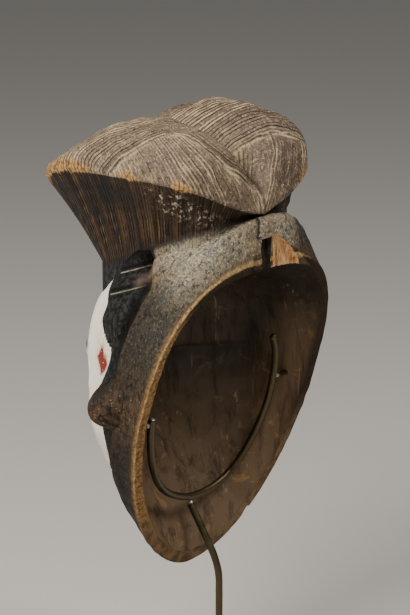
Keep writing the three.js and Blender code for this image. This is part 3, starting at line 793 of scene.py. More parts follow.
class Finish:
    """A node material under construction, with short calls for the nodes it uses."""

    def __init__(self, name):
        self.material = bpy.data.materials.new(name)
        self.material.use_nodes = True
        self.tree = self.material.node_tree
        self.shader = self.tree.nodes["Principled BSDF"]
        self.place = self.new("TexCoord").outputs["Object"]

    def new(self, kind):
        """A new node of the material."""
        return self.tree.nodes.new("ShaderNode" + kind)

    def put(self, socket, value):
        """Links a socket, or sets its constant."""
        if isinstance(value, bpy.types.NodeSocket):
            self.tree.links.new(value, socket)
        else:
            socket.default_value = value

    def fill(self, node, inputs):
        """Links or sets a node's inputs, each by its name or number."""
        for name, value in inputs.items():
            self.put(node.inputs[name], value)

    def stretch(self, x, y, z, turn=(0.0, 0.0, 0.0)):
        """Object coordinates stretched and turned."""
        node = self.new("Mapping")
        self.fill(node, {"Vector": self.place, "Scale": (x, y, z), "Rotation": turn})
        return node.outputs["Vector"]

    def noise(self, scale, detail=5.0, roughness=0.6, distortion=0.0, vector=None):
        """Noise of a scale per metre."""
        node = self.new("TexNoise")
        self.fill(node, {"Vector": vector or self.place, "Scale": scale, "Detail": detail,
                         "Roughness": roughness, "Distortion": distortion})
        return node.outputs["Fac"]

    def along(self, phase, rate, length):
        """Coordinates that follow the strands: their number across, the height along them."""
        split = self.new("SeparateXYZ")
        self.fill(split, {0: self.place})
        join = self.new("CombineXYZ")
        self.fill(join, {0: self.times(phase, rate), 1: self.times(split.outputs["Z"], length)})
        return join.outputs[0]

    def mask(self, name):
        """A painted share from the mesh."""
        node = self.new("Attribute")
        node.attribute_name = name
        return node.outputs["Fac"]

    def math(self, kind, first, second=0.0):
        """One arithmetic step."""
        node = self.new("Math")
        node.operation = kind
        self.fill(node, {0: first, 1: second})
        return node.outputs["Value"]

    def times(self, first, second):
        """The product of two numbers."""
        return self.math("MULTIPLY", first, second)

    def most(self, first, second):
        """The greater of two numbers."""
        return self.math("MAXIMUM", first, second)

    def apart(self, first, second):
        """How far apart two numbers are."""
        return self.math("ABSOLUTE", self.math("SUBTRACT", first, second))

    def roughened(self, value, noise, amount):
        """A value with a noise added: value + (noise - 0.5) * amount."""
        return self.math("ADD", value, self.times(self.math("SUBTRACT", noise, 0.5), amount))

    def step(self, value, low, high, bottom=0.0, top=1.0):
        """A smooth step of a value between two limits."""
        node = self.new("MapRange")
        node.interpolation_type = "SMOOTHSTEP"
        self.fill(node, {"Value": value, "From Min": low, "From Max": high, "To Min": bottom, "To Max": top})
        return node.outputs["Result"]

    def blend_value(self, share, first, second):
        """Two numbers mixed by a share."""
        node = self.new("Mix")
        node.data_type = "FLOAT"
        self.fill(node, {0: share, 2: first, 3: second})
        return node.outputs[0]

    def blend(self, share, first, second):
        """Two colours mixed by a share."""
        node = self.new("Mix")
        node.data_type = "RGBA"
        self.fill(node, {0: share, 6: first, 7: second})
        return node.outputs[2]

    def layers(self, color, *coats):
        """A colour under coats of others, each laid on by its share."""
        for share, coat in coats:
            color = self.blend(share, color, coat)
        return color

    def chance(self, number):
        """A random share for each whole number."""
        node = self.new("TexWhiteNoise")
        node.noise_dimensions = "1D"
        self.put(node.inputs["W"], number)
        return node.outputs["Value"]

    def grooves(self, phase, width, rarity=0.0):
        """Grooves at whole strand numbers, each of its own depth; rarity leaves some out."""
        shifted = self.math("ADD", phase, 0.5)
        gap = self.apart(self.math("FRACT", shifted), 0.5)
        deep = self.step(self.chance(self.math("FLOOR", shifted)), rarity, 0.85, 0.25 * (1.0 - rarity), 1.0)
        return self.times(self.step(gap, width, 0.0), deep)

    def ridges(self, phase, width):
        """Pale crests in the middle of some of the strands: rubbed wood with painted highlight."""
        gap = self.apart(self.math("FRACT", phase), 0.5)
        lit = self.step(self.chance(self.math("ADD", self.math("FLOOR", phase), 0.25)), 0.25, 0.85)
        return self.times(self.step(gap, width, 0.04), lit)

    def bands(self, shift, width, strength):
        """Painted lines along the tress's band edges, shifted up or down from them, used as painted shadow
        and painted highlight of the steps.
        """
        lines = []
        for level in BAND_LEVELS:
            gap = self.apart(self.mask("level"), level - shift)
            lines.append(self.step(gap, width, 0.2 * width))
        return self.times(self.most(*lines), self.times(self.mask("band"), strength))

    def bump(self, height, strength, distance, below=None):
        """A bump from a height, on top of another bump."""
        node = self.new("Bump")
        self.fill(node, {"Strength": strength, "Distance": distance, "Height": height})
        if below is not None:
            self.put(node.inputs["Normal"], below)
        return node.outputs["Normal"]

    def finish(self, color, roughness, normal=None, **constants):
        """Ties the results to the shader."""
        self.fill(self.shader, {"Base Color": color, "Roughness": roughness})
        if normal is not None:
            self.put(self.shader.inputs["Normal"], normal)
        for name, value in constants.items():
            self.shader.inputs[name.replace("_", " ")].default_value = value
        return self.material


# Materials of the wood

def combed_lines(f, ahead, behind, medium):
    """Painted shade in the grooves between the strands and in the seams' creases, and the strands' crests,
    rubbed and with painted highlight.
    """
    fade = f.step(f.noise(85.0, 4.0, 0.6), 0.30, 0.58)
    front = f.times(f.grooves(f.mask("front"), 0.20), ahead)
    back = f.times(f.grooves(f.mask("back"), 0.15, 0.15), f.times(behind, fade))
    # painted shade in the strand grooves and the creases
    groove = f.most(f.most(front, f.times(back, 0.8)), f.mask("crease"))
    front_lit = f.times(f.ridges(f.mask("front"), 0.26), ahead)
    back_lit = f.times(f.ridges(f.mask("back"), 0.20), behind)
    # pale crests: rubbed wood with painted highlight
    crest = f.most(f.most(front_lit, f.times(back_lit, 0.65)), f.mask("crest"))
    return groove, f.times(crest, f.step(medium, 0.30, 0.58))


def top_color(f, behind, groove, crest, medium, fine):
    """Grey weathered strands: blotched, flecked and scratched, with painted shade between them and pale
    crests on top, rubbed and with painted highlight.
    """
    flecks = f.noise(600.0, 3.0, 0.75, 1.0)
    scratch = f.noise(1.0, 3.0, 0.55, 0.0, f.along(f.mask("back"), 1.6, 55.0))
    return f.layers(
        f.blend(f.noise(26.0, 4.0, 0.6), tone(94, 79, 64), tone(146, 127, 103)),
        (f.mask("blush"), tone(92, 76, 65)),
        (f.step(medium, 0.50, 0.70, 0.0, 0.5), tone(178, 158, 128)),
        (f.step(fine, 0.50, 0.62, 0.0, 0.8), tone(66, 53, 42)),
        (f.step(flecks, 0.56, 0.64, 0.0, 0.6), tone(196, 178, 146)),
        # pale crests: rubbed wood with painted highlight
        (f.times(crest, 0.9), tone(214, 192, 154)),
        # painted shade in the grooves between the strands
        (f.times(groove, 0.95), tone(42, 33, 26)),
        (f.times(behind, f.step(scratch, 0.60, 0.70, 0.0, 0.7)), tone(206, 186, 156)),
    )


def under_color(f, phase, streak, medium):
    """The flare's underside: dark brown, streaked along its strands, with painted shade in its grooves, pale
    crests that are rubbed and painted highlight, and near black in places.
    """
    broken = f.step(f.noise(1.0, 4.0, 0.6, 0.0, f.along(phase, 1.1, 60.0)), 0.42, 0.60)
    return f.layers(
        f.blend(f.step(streak, 0.42, 0.68), tone(20, 15, 11), tone(78, 56, 32)),
        (f.step(medium, 0.42, 0.66, 0.0, 0.6), tone(44, 31, 20)),
        # pale crests: rubbed wood with painted highlight
        (f.times(f.ridges(phase, 0.20), broken), tone(106, 84, 55)),
        # painted shade in the strand grooves
        (f.times(f.grooves(phase, 0.24), 0.8), tone(12, 9, 7)),
        # near black in a patch under the flare
        (f.mask("dark_under_patch"), tone(19, 16, 14)),
    )


def hair_wood():
    """Combed hair: grey weathered strands on top, ochre worn edge, dark crusted underside."""
    f = Finish("hair_wood")
    medium = f.noise(150.0, 5.0, 0.65)
    fine = f.noise(430.0, 4.0, 0.7)
    ahead = f.step(f.mask("seam"), -0.3, 0.3)
    behind = f.math("SUBTRACT", 1.0, ahead)
    # groove: painted shade between the strands, also the bump's height; crest: rubbed wood with painted
    # highlight
    groove, crest = combed_lines(f, ahead, behind, medium)
    phase = f.mask("flare")
    streak = f.noise(1.0, 3.0, 0.6, 0.0, f.along(phase, 0.45, 12.0))
    ochre = f.blend(f.step(fine, 0.38, 0.64), tone(198, 156, 96), tone(112, 78, 42))
    under = f.step(f.roughened(f.mask("under"), medium, 0.7), 0.40, 0.60)
    worn = f.roughened(f.roughened(f.mask("edge"), streak, 1.1), medium, 0.8)
    crust = f.mask("crust")
    lumps = f.noise(330.0, 5.0, 0.7)
    crumbs = f.times(f.step(crust, 0.3, 0.8), f.step(lumps, 0.52, 0.59))
    base = f.layers(
        top_color(f, behind, groove, crest, medium, fine),
        (under, under_color(f, phase, streak, medium)),
        # the ochre worn edge, with painted shade in its strand grooves
        (f.step(worn, 0.40, 0.66, 0.0, 0.92), f.blend(f.grooves(phase, 0.30), ochre, tone(92, 60, 34))),
        (f.mask("below"), side_color(f, f.noise(120.0, 5.0, 0.62), fine)),
        # painted shade: near black just below the line where the coiffure springs from the head
        (f.mask("foot"), f.blend(medium, tone(12, 10, 8), tone(38, 29, 20))),
        (f.times(crust, 0.75), f.blend(medium, tone(30, 23, 18), tone(84, 58, 38))),
        (f.times(crumbs, f.step(medium, 0.42, 0.56)), tone(178, 170, 152)),
    )
    height = f.math("SUBTRACT", f.times(crest, 0.4), groove)
    height = f.blend_value(f.mask("under"), height, f.times(f.grooves(phase, 0.3), -1.0))
    normal = f.bump(height, 0.9, 0.0007)
    normal = f.bump(medium, 0.4, 0.0010, normal)
    normal = f.bump(fine, 0.5, 0.0005, normal)
    normal = f.bump(f.times(crust, lumps), 0.9, 0.0040, normal)
    return f.finish(base, f.step(medium, 0.3, 0.7, 0.58, 0.8), normal, Specular_IOR_Level=0.28)


def side_color(f, medium, fine):
    """The collar's salt and pepper, the brown ears, and the black tress in front of the collar."""
    grain = f.noise(400.0, 5.0, 0.7, 0.2, f.stretch(1.0, 1.0, 0.6))
    pepper = f.noise(600.0, 3.0, 0.75)
    # the collar's paleness, partly its own paint and partly painted light: each coat below has a darker and
    # a paler copy
    light = f.mask("light")
    rubbed = f.times(f.mask("tan"), f.step(grain, 0.62, 0.40, 0.35, 1.0))
    brown = f.blend(f.step(grain, 0.40, 0.62), tone(74, 58, 42), tone(30, 24, 18))
    black = f.blend(f.step(grain, 0.42, 0.62), tone(12, 12, 12), tone(46, 48, 47))
    return f.layers(
        f.blend(light, tone(27, 22, 16), tone(154, 143, 121)),
        (f.step(medium, 0.44, 0.62, 0.0, 0.75), f.blend(light, tone(28, 28, 27), tone(112, 111, 106))),
        (f.step(grain, 0.50, 0.62, 0.0, 0.85), f.blend(light, tone(13, 11, 9), tone(84, 75, 62))),
        (rubbed, f.blend(fine, tone(88, 64, 38), tone(172, 138, 92))),
        (f.step(pepper, 0.55, 0.64, 0.0, 0.8), f.blend(light, tone(66, 57, 46), tone(214, 203, 178))),
        (f.step(fine, 0.54, 0.63, 0.0, 0.8), f.blend(light, tone(10, 9, 8), tone(56, 49, 40))),
        (f.mask("ear"), f.blend(f.step(fine, 0.60, 0.70, 0.0, 0.8), brown, tone(178, 160, 132))),
        (f.mask("tress"), f.blend(f.step(fine, 0.55, 0.68, 0.0, 0.45), black, tone(86, 82, 76))),
    )


def rim_color(f, medium, fine):
    """The rim's flat face: tan speckled wood where it is rubbed, dark brown elsewhere."""
    brown = f.blend(f.step(medium, 0.40, 0.62), tone(124, 99, 69), tone(92, 71, 49))
    brown = f.blend(f.mask("lip"), brown, tone(46, 34, 22))
    tan = f.blend(f.step(fine, 0.40, 0.62), tone(152, 116, 72), tone(98, 72, 42))
    tan = f.blend(f.step(medium, 0.54, 0.66, 0.0, 0.6), tan, tone(66, 48, 29))
    return f.blend(f.mask("rub"), brown, tan)


def clay_color(f, medium, fine):
    """White clay with yellowed specks, dirty at the cheeks and stained beside the temple's red."""
    return f.layers(
        f.blend(medium, tone(236, 224, 204), tone(253, 247, 234)),
        (f.step(fine, 0.62, 0.74, 0.0, 0.3), tone(184, 160, 132)),
        (f.mask("dirt"), f.blend(medium, tone(120, 108, 90), tone(182, 168, 146))),
        (f.times(f.mask("stain"), f.step(fine, 0.36, 0.60)), tone(158, 104, 84)),
    )


def painted_wood():
    """Face and sides: white clay, red lozenges and lips, black hair, grey salt-and-pepper collar."""
    f = Finish("painted_wood")
    grain = f.noise(240.0, 6.0, 0.68, 0.3, f.stretch(1.0, 1.0, 0.3))
    medium = f.noise(120.0, 5.0, 0.62)
    fine = f.noise(480.0, 4.0, 0.75)
    uneven = f.math("ADD", f.times(medium, 0.7), f.times(fine, 0.9))
    worn = f.math("ADD", f.mask("wear"), f.math("SUBTRACT", uneven, 0.8))
    bare = f.blend(f.step(fine, 0.38, 0.64), tone(204, 172, 122), tone(112, 82, 48))
    clay = f.step(f.roughened(f.mask("clay"), medium, 0.4), 0.42, 0.56)
    chipped = f.step(f.noise(75.0, 6.0, 0.7), 0.66, 0.70, 1.0, 0.25)
    red = f.blend(medium, tone(104, 32, 30), tone(146, 58, 48))
    base = f.layers(
        side_color(f, medium, fine),
        # painted shadow: a dark line above each band step of the tress
        (f.bands(-2.4, 2.2, 1.0), tone(6, 6, 7)),
        # painted highlight: a thin pale line along each band step's edge
        (f.bands(0.3, 0.7, f.step(medium, 0.3, 0.5)), tone(142, 134, 116)),
        (f.mask("faded"), f.blend(fine, tone(138, 112, 98), tone(206, 180, 160))),
        (f.mask("face"), rim_color(f, medium, fine)),
        (f.step(worn, 0.36, 0.66, 0.0, 0.9), bare),
        (f.mask("crack"), tone(34, 24, 15)),
        (f.times(clay, chipped), clay_color(f, medium, fine)),
        (f.times(f.mask("red"), f.step(fine, 0.30, 0.42)), red),
        (f.times(f.mask("black"), f.step(fine, 0.28, 0.40)), tone(30, 27, 26)),
        # painted shade: near black in the groove behind the tress and at the coiffure's foot
        (f.mask("painted_shade"), tone(14, 12, 11)),
    )
    normal = f.bump(fine, 0.6, 0.0006, f.bump(grain, 0.3, 0.0008))
    return f.finish(base, f.step(medium, 0.3, 0.7, 0.6, 0.85), normal, Specular_IOR_Level=0.15)


def hollow_wood():
    """The carved-out inside: brown wood with grain, scratches and pale scars, in painted shade high up and
    painted light lower down and on the far wall.
    """
    f = Finish("hollow_wood")
    grain = f.noise(120.0, 7.0, 0.66, 0.5, f.stretch(1.0, 1.0, 0.14))
    broad = f.noise(18.0, 4.0, 0.6)
    fine = f.noise(560.0, 4.0, 0.65, 0.0, f.stretch(1.0, 1.0, 0.3))
    # painted light and shade of the hollow: each coat below has a shaded copy and a lit copy
    light = f.mask("inside")
    gold = f.step(f.noise(70.0, 4.0, 0.7, 1.2), 0.56, 0.68)
    scratches = f.noise(150.0, 2.0, 0.5, 0.0, f.stretch(1.6, 1.6, 0.08, (0.0, 0.3, 0.0)))
    scar = f.times(f.step(scratches, 0.66, 0.71), f.step(broad, 0.42, 0.56))
    base = f.layers(
        f.blend(light, tone(9, 6, 4), tone(124, 101, 76)),
        (f.step(broad, 0.42, 0.66, 0.0, 0.6), f.blend(light, tone(13, 8, 4), tone(108, 82, 58))),
        # pale golden tool marks, shown as painted highlights only where the painted light falls
        (f.times(gold, f.times(light, 0.7)), tone(158, 122, 76)),
        (f.step(grain, 0.48, 0.68, 0.0, 0.7), f.blend(light, tone(5, 4, 3), tone(52, 38, 25))),
        (f.step(fine, 0.58, 0.74, 0.0, 0.35), f.blend(light, tone(40, 30, 20), tone(150, 126, 94))),
        (f.times(scar, 0.35), tone(172, 154, 128)),
        (f.mask("lip"), f.blend(fine, tone(30, 25, 21), tone(90, 74, 58))),
    )
    normal = f.bump(fine, 0.4, 0.0005, f.bump(grain, 0.5, 0.0012))
    return f.finish(base, f.step(grain, 0.3, 0.7, 0.5, 0.72), normal, Specular_IOR_Level=0.28)


def broken_wood():
    """A fresh break: orange fibres running up and down."""
    f = Finish("broken_wood")
    fibre = f.noise(420.0, 5.0, 0.7, 0.4, f.stretch(1.0, 1.0, 0.10))
    patch = f.noise(150.0, 4.0, 0.6)
    base = f.blend(f.step(fibre, 0.3, 0.7), tone(166, 114, 66), tone(252, 208, 150))
    base = f.blend(f.step(patch, 0.58, 0.68, 0.0, 0.8), base, tone(168, 88, 44))
    normal = f.bump(fibre, 0.8, 0.0010)
    return f.finish(base, 0.75, normal)


def old_break():
    """An old slot, dark with dirt."""
    f = Finish("old_break")
    fibre = f.noise(380.0, 5.0, 0.7, 0.4, f.stretch(1.0, 1.0, 0.12))
    base = f.blend(fibre, tone(24, 19, 15), tone(72, 58, 44))
    return f.finish(base, 0.8, f.bump(fibre, 0.7, 0.0010))


# Painted shares of the mask's points

def edge_distance(x, y, z):
    """How far a point lies from the coiffure's flared edge, and how far above it."""
    _, reach, edge_reach, edge_z = from_middle(x, y)
    return np.hypot(edge_reach - reach, z - edge_z), z - edge_z


def corner_distance(x, z, depth):
    """Distance to the rim's outer corner in the rim's plane, for the points near that plane."""
    corner_x, corner_z = outline(RIM, even_turns(RIM, 400))
    near = np.flatnonzero(np.abs(depth) < 9.0)
    gap = np.full(len(x), 99.0)
    for part in np.array_split(near, 1 + len(near) // 20000):
        far = np.hypot(x[part, None] - corner_x[None, :], z[part, None] - corner_z[None, :])
        gap[part] = far.min(axis=1)
    return gap


def point_shares(x, y, z):
    """The named shares of every point: strands, wear, clay, red, black, light (partly painted light),
    painted shade and the rest.
    """
    depth = rim_y(z) - y
    level = z + NECK_SLOPE * depth
    corner = np.hypot(corner_distance(x, z, depth), np.maximum(depth, 0.0))
    gap, above = edge_distance(x, y, z)
    seam, front, back = strand_phases(x, y, z)
    foot = neck_height(y) - z
    side = np.abs(x)
    phases = {
        "seam": seam,
        "front": front,
        "back": back,
        "flare": flare_phase(np.arctan2(x, y - EDGE["middle"])),
        "level": level,
    }
    shares = {
        "under": 1.0 - ramp(above, -3.0, 0.5),
        "edge": edge_wear(x, y, gap, above),
        # pale lines: rubbed wood with painted highlight
        "crest": crest_wear_and_highlight(x, y, seam),
        # painted shade in the seams and creases
        "crease": painted_crease_shade(x, y, seam),
        "blush": 0.8 * ramp(x, -4.0, -24.0) + 0.5 * ramp(seam, -2.0, -14.0),
        "below": ramp(foot, 1.0, 3.0),
        # painted shade just below the coiffure's foot line
        "foot": 0.85 * bell(foot - 2.5, 2.2),
        # near black in a patch under the flare
        "dark_under_patch": 0.8 * round_spot((y + 60.0) / 34.0, (above + 14.0) / 12.0),
        "crust": round_spot((y + 14.0) / 20.0, (above + 13.0) / 13.0) * ramp(above, 2.0, -4.0),
        # the collar's paleness: partly its own paint, partly painted light and shade
        "light": collar_paint_and_light(x, z, depth),
        # painted light and shade in the hollow
        "inside": hollow_painted_light(x, z, depth),
        "face": bell(depth, 2.2),
        "rub": ramp(x, -10.0, 14.0) * ramp(z, 38.0, 56.0) * ramp(z, 202.0, 178.0),
        "ear": ramp(side, 76.0, 84.0) * bell(z - EAR_HEIGHT + 2.0, 24.0),
        "crack": crack_share(x, z, depth),
        "tan": tan_share(x, z, depth),
        "faded": faded_share(x, level, depth),
        "wear": wear_share(x, z, depth, corner),
        "band": tress_place(depth, z)[0],
        "lip": bell(depth, 3.0) * ramp(z, 60.0, 110.0),
        "tress": tress_share(z, depth),
        "clay": clay_share(z, depth),
        "dirt": 0.5 * ramp(z, 125.0, 90.0) * ramp(side, 30.0, 50.0),
        "stain": stain_share(y, z) * ramp(side, 52.0, 60.0),
        "red": red_share(x, y, z),
        "black": black_share(x, y, z),
        # painted shade in the groove behind the tress and at the coiffure's foot
        "painted_shade": painted_shade_share(z, depth),
    }
    return phases | {name: np.clip(values, 0.0, 1.0) for name, values in shares.items()}


def paint_mask(piece):
    """Writes the shares that the finishes read onto the mesh."""
    mesh = piece.data
    flat = np.empty(len(mesh.vertices) * 3)
    mesh.vertices.foreach_get("co", flat)
    x, y, z = (flat.reshape(-1, 3) / MM - SHIFT).T
    for name, values in point_shares(x, y, z).items():
        write_share(mesh, name, values)


def crack_share(x, z, depth):
    """The dark leaning crack below the crown."""
    return bell(x - 9.5 + 0.12 * (z - 220.0), 1.7) * ramp(z, 200.0, 206.0) * ramp(depth, 30.0, 16.0)


def stain_share(y, z):
    """Red rubbed into the clay round the temple's lozenge."""
    beside = (y - TEMPLE_LOZENGE["y"]) / 13.0
    return 0.6 * round_spot(beside, (z - TEMPLE_LOZENGE["height"] - 3.0) / 17.0)


def edge_wear(x, y, gap, above):
    """Rubbed wood along the flared edge: broad in front, patchy behind, broad on the far lobe."""
    width = 5.5 + 2.5 * ramp(y, -70.0, -100.0) + 3.5 * ramp(x, -20.0, -45.0)
    patches = 0.5 * bell(y + 40.0, 11.0) + 0.6 * bell(y + 3.0, 9.0)
    strong = 0.14 + 0.72 * ramp(y, -60.0, -80.0) + patches + 0.45 * ramp(x, -20.0, -45.0)
    strong = strong * ramp(above, -9.0, -1.0)
    return strong * bell(gap, width)


def crest_wear_and_highlight(x, y, seam):
    """Pale lines, rubbed and with painted highlight: one behind each seam and one along the valley."""
    valley = 0.8 * bell(x - 0.8, 0.9) * ramp(y, -118.0, -100.0)
    behind = 0.6 * bell(x - 5.0, 0.7) * ramp(y, -35.0, -15.0)
    return np.maximum(0.7 * bell(seam + 2.0, 0.7), np.maximum(valley, behind))


def painted_crease_shade(x, y, seam):
    """Painted shade: dark lines in the doubled seam and the creases beside the valley."""
    doubled = np.maximum(bell(seam, 0.8), 0.85 * bell(seam - SEAM_GAP, 0.7) * ramp(x, 0.0, 6.0))
    behind = ramp(y, -38.0, -15.0)
    creases = np.maximum(0.8 * bell(x + 1.6, 0.8), 0.8 * bell(x - 2.8, 0.7))
    return np.maximum(doubled, creases * behind)


def collar_paint_and_light(x, z, depth):
    """How pale the collar is, partly its own paler paint near the crown and partly painted light and shade:
    it lightens towards the crown and near the rim, and darkens on the mask's right side.
    """
    collar = 0.02 + 0.12 * ramp(z, 120.0, 190.0) + 0.78 * ramp(z, 192.0, 226.0)
    collar = collar * (1.0 - 0.55 * ramp(depth, 12.0, 36.0) * ramp(z, 232.0, 205.0))
    return collar * (1.0 - 0.85 * ramp(-x, 26.0, 40.0))


def hollow_painted_light(x, z, depth):
    """How pale the hollow is, as painted light: painted shade above, painted light near the far rim, on the
    ledge and at the chin.
    """
    far = 0.95 * ramp(x, -36.0, -60.0) * ramp(z, 195.0, 130.0) * ramp(depth, 52.0, 14.0)
    low = 0.10 + 0.62 * ramp(z, 142.0, 70.0) + 0.08 * ramp(z, 90.0, 45.0)
    upright = ramp(z, LEDGE_HEIGHT, LEDGE_HEIGHT + 2.0) * ramp(z, 195.0, 160.0)
    return np.maximum(far, low) + 0.16 * upright * ramp(x, -74.0, -50.0)


def tan_share(x, z, depth):
    """Brownish patches: the rubbed collar near the rim, beside the tress and at the crown."""
    upright = (0.25 + 0.75 * ramp(z, 200.0, 215.0)) * ramp(z, 150.0, 170.0)
    beside = bell(depth - collar_end(z) + 1.0, 4.0) * upright
    crown = bell(np.abs(x - 4.0) - 9.0, 7.0) * ramp(z, 200.0, 214.0)
    rim = bell(depth, 3.5) * (0.4 + 0.2 * ramp(z, 205.0, 120.0))
    return 0.5 * np.maximum(np.maximum(beside, crown), rim)


def faded_share(x, level, depth):
    """The pale patch at the back of the tress's second band."""
    return 0.8 * round_spot((depth - 43.0) / 2.6, (level - 230.5) / 5.0) * (x > 0.0)


def wear_share(x, z, depth, corner):
    """Rubbed lines on the rim's outer corner, the collar's step and the ears' tips."""
    width = 1.3 + 1.0 * ramp(z, 150.0, 205.0) * ramp(z, 232.0, 222.0)
    rim = 0.85 * bell(corner, width) * (1.0 - 0.55 * ramp(-x, 30.0, 60.0)) * ramp(z, 30.0, 60.0)
    step = 0.5 * bell(depth - collar_end(z), 1.3) * ramp(z, 120.0, 80.0)
    ear = 0.30 * ramp(np.abs(x), 86.0, 95.0) * bell(z - 130.0, 16.0)
    return np.maximum(np.maximum(rim, step), ear)


def clay_share(z, depth):
    """White clay over the face, forward of a line that passes the temple's lozenge."""
    heights, depths = np.array(CLAY_LINE).T
    line = np.interp(z, heights, depths)
    return ramp(depth, line - 2.0, line + 2.0)


def tress_share(z, depth):
    """Black hair at the temples, between the groove behind and the clay in front."""
    return ramp(depth - collar_end(z), 2.0, 5.0) * ramp(z, 128.0, 150.0)


def lozenge(u, v):
    """1 inside a lozenge, 0 outside, with a soft border."""
    return ramp(1.05 - np.abs(u) - np.abs(v), 0.0, 0.12)


def red_share(x, y, z):
    """Red lips and lozenges on the forehead and the temples."""
    front = ramp(y, -88.0, -96.0)
    lips = front * ramp(1.0 - (x / 24.0) ** 2 - ((z - MOUTH_HEIGHT) / 11.0) ** 2, 0.0, 0.2)
    brow = front * lozenge(x / LOZENGE["half_x"], (z - LOZENGE["height"]) / LOZENGE["half_z"])
    beside = (y - TEMPLE_LOZENGE["y"]) / TEMPLE_LOZENGE["half_y"]
    above = (z - TEMPLE_LOZENGE["height"]) / TEMPLE_LOZENGE["half_z"]
    return lips + brow + lozenge(beside, above) * ramp(np.abs(x), 52.0, 60.0)


def black_share(x, y, z):
    """Black brows and eye slits."""
    side = np.abs(x) - EYE_SIDE
    brow = bell(z - brow_height(x), 3.0) * ramp(np.abs(x), 62.0, 54.0) * ramp(np.abs(x), 4.0, 10.0)
    slit = bell(z - slit_height(side), 2.0) * ramp(np.abs(side), 18.0, 14.0)
    return ramp(y, -80.0, -90.0) * np.maximum(brow, slit)


def painted_shade_share(z, depth):
    """Painted shade in the groove behind the tress and at the foot of the coiffure."""
    groove = 0.85 * bell(depth - collar_end(z) - 3.0, 2.6) * ramp(z, 140.0, 165.0) * ramp(z, 238.0, 228.0)
    foot = 0.8 * ramp(z + NECK_SLOPE * depth - CROWN, -6.0, 2.0) * ramp(depth, 8.0, 16.0)
    return np.maximum(groove, foot)


# Assembly of the mask

def build_mask():
    """One piece of wood: shell, coiffure, ears and crown joined, the hollow and breaks cut."""
    mask = build_shell()
    painted = painted_wood()
    mask.data.materials.append(painted)
    hair = build_hair()
    hair.data.materials.append(hair_wood())
    combine(mask, hair, "UNION")
    for piece in (build_ear(1.0), build_ear(-1.0), build_lip()):
        piece.data.materials.append(painted)
        combine(mask, piece, "UNION")
    crown_y = rim_y(RIM["top"])
    cuts = [
        (build_hollow(), hollow_wood()),
        (build_block("slot", **SLOT, place=(0.0, crown_y, 224.0), tilt=0.1), old_break()),
        (build_facet(), broken_wood()),
        (build_block("chip", **CHIP, place=(-54.0, rim_y(27.0) - 5.0, 27.0), turn=-0.75), painted),
        (build_peg_hole(1.0), old_break()),
        (build_peg_hole(-1.0), old_break()),
    ]
    for piece, finish in cuts:
        piece.data.materials.append(finish)
        combine(mask, piece, "DIFFERENCE")
    paint_mask(mask)
    mask.data.shade_smooth()
    mask.data.set_sharp_from_angle(angle=math.radians(55.0))
    mask.name = "carved_mask"
    return mask


carved_mask = build_mask()
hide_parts("mask")
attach(carved_mask, "root")


# Metal

def bronzed_metal():
    """Patinated brass rod: dark olive brown, with rubbed lighter streaks."""
    f = Finish("bronzed_metal")
    cloud = f.noise(60.0, 5.0, 0.6)
    fine = f.noise(700.0, 4.0, 0.65)
    base = f.blend(cloud, tone(52, 46, 32), tone(104, 92, 66))
    base = f.blend(f.step(fine, 0.56, 0.72, 0.0, 0.5), base, tone(34, 29, 21))
    base = f.blend(f.step(f.mask("solder"), 0.2, 0.6), base, tone(186, 184, 174))
    rough = f.step(cloud, 0.3, 0.7, 0.30, 0.48)
    return f.finish(base, rough, f.bump(fine, 0.25, 0.0003), Metallic=0.85)


def dark_steel():
    """Blackened plate with a faint mottle."""
    f = Finish("dark_steel")
    cloud = f.noise(35.0, 6.0, 0.62)
    fine = f.noise(900.0, 3.0, 0.6)
    base = f.blend(cloud, tone(34, 32, 30), tone(58, 54, 49))
    rough = f.step(cloud, 0.3, 0.7, 0.42, 0.6)
    return f.finish(base, rough, f.bump(fine, 0.2, 0.0003), Metallic=0.6)


def build_tube(name, path, radius, across, solder):
    """A round rod: rings of points square to a path, bright with solder over a length at its start."""
    along = unit(np.gradient(path, axis=0))
    side = unit(np.cross(along, across))
    other = np.cross(side, along)
    angle = turns_of(ROD_SIDES)[None, :, None]
    travelled = np.concatenate([[0.0], np.cumsum(np.linalg.norm(np.diff(path, axis=0), axis=1))])
    to_end = np.minimum(travelled, travelled[-1] - travelled)
    width = radius * (1.0 - 0.3 * bell(to_end, 0.5))[:, None, None]
    rings = path[:, None, :] + width * (np.cos(angle) * side[:, None, :] + np.sin(angle) * other[:, None, :])
    rings += 0.05 * ripple(rings, 7.0, 51)[..., None] * side[:, None, :]
    piece = closed_grid(name, rings, path[0], path[-1])
    share = bell(travelled, solder)
    write_share(piece.data, "solder", np.append(np.repeat(share, ROD_SIDES), [share[0], share[-1]]))
    piece.data.shade_smooth()
    return piece


def cradle_path():
    """The bent cradle's middle line."""
    rise = (PEG_HEIGHT - CRADLE_BOTTOM) / PEG_RISE
    places = [(share * CRADLE_HALF, CRADLE_BOTTOM + up * rise) for share, up in CRADLE_PLACES]
    return smooth_path([(x, cradle_y(x, z), z) for x, z in places], 14)


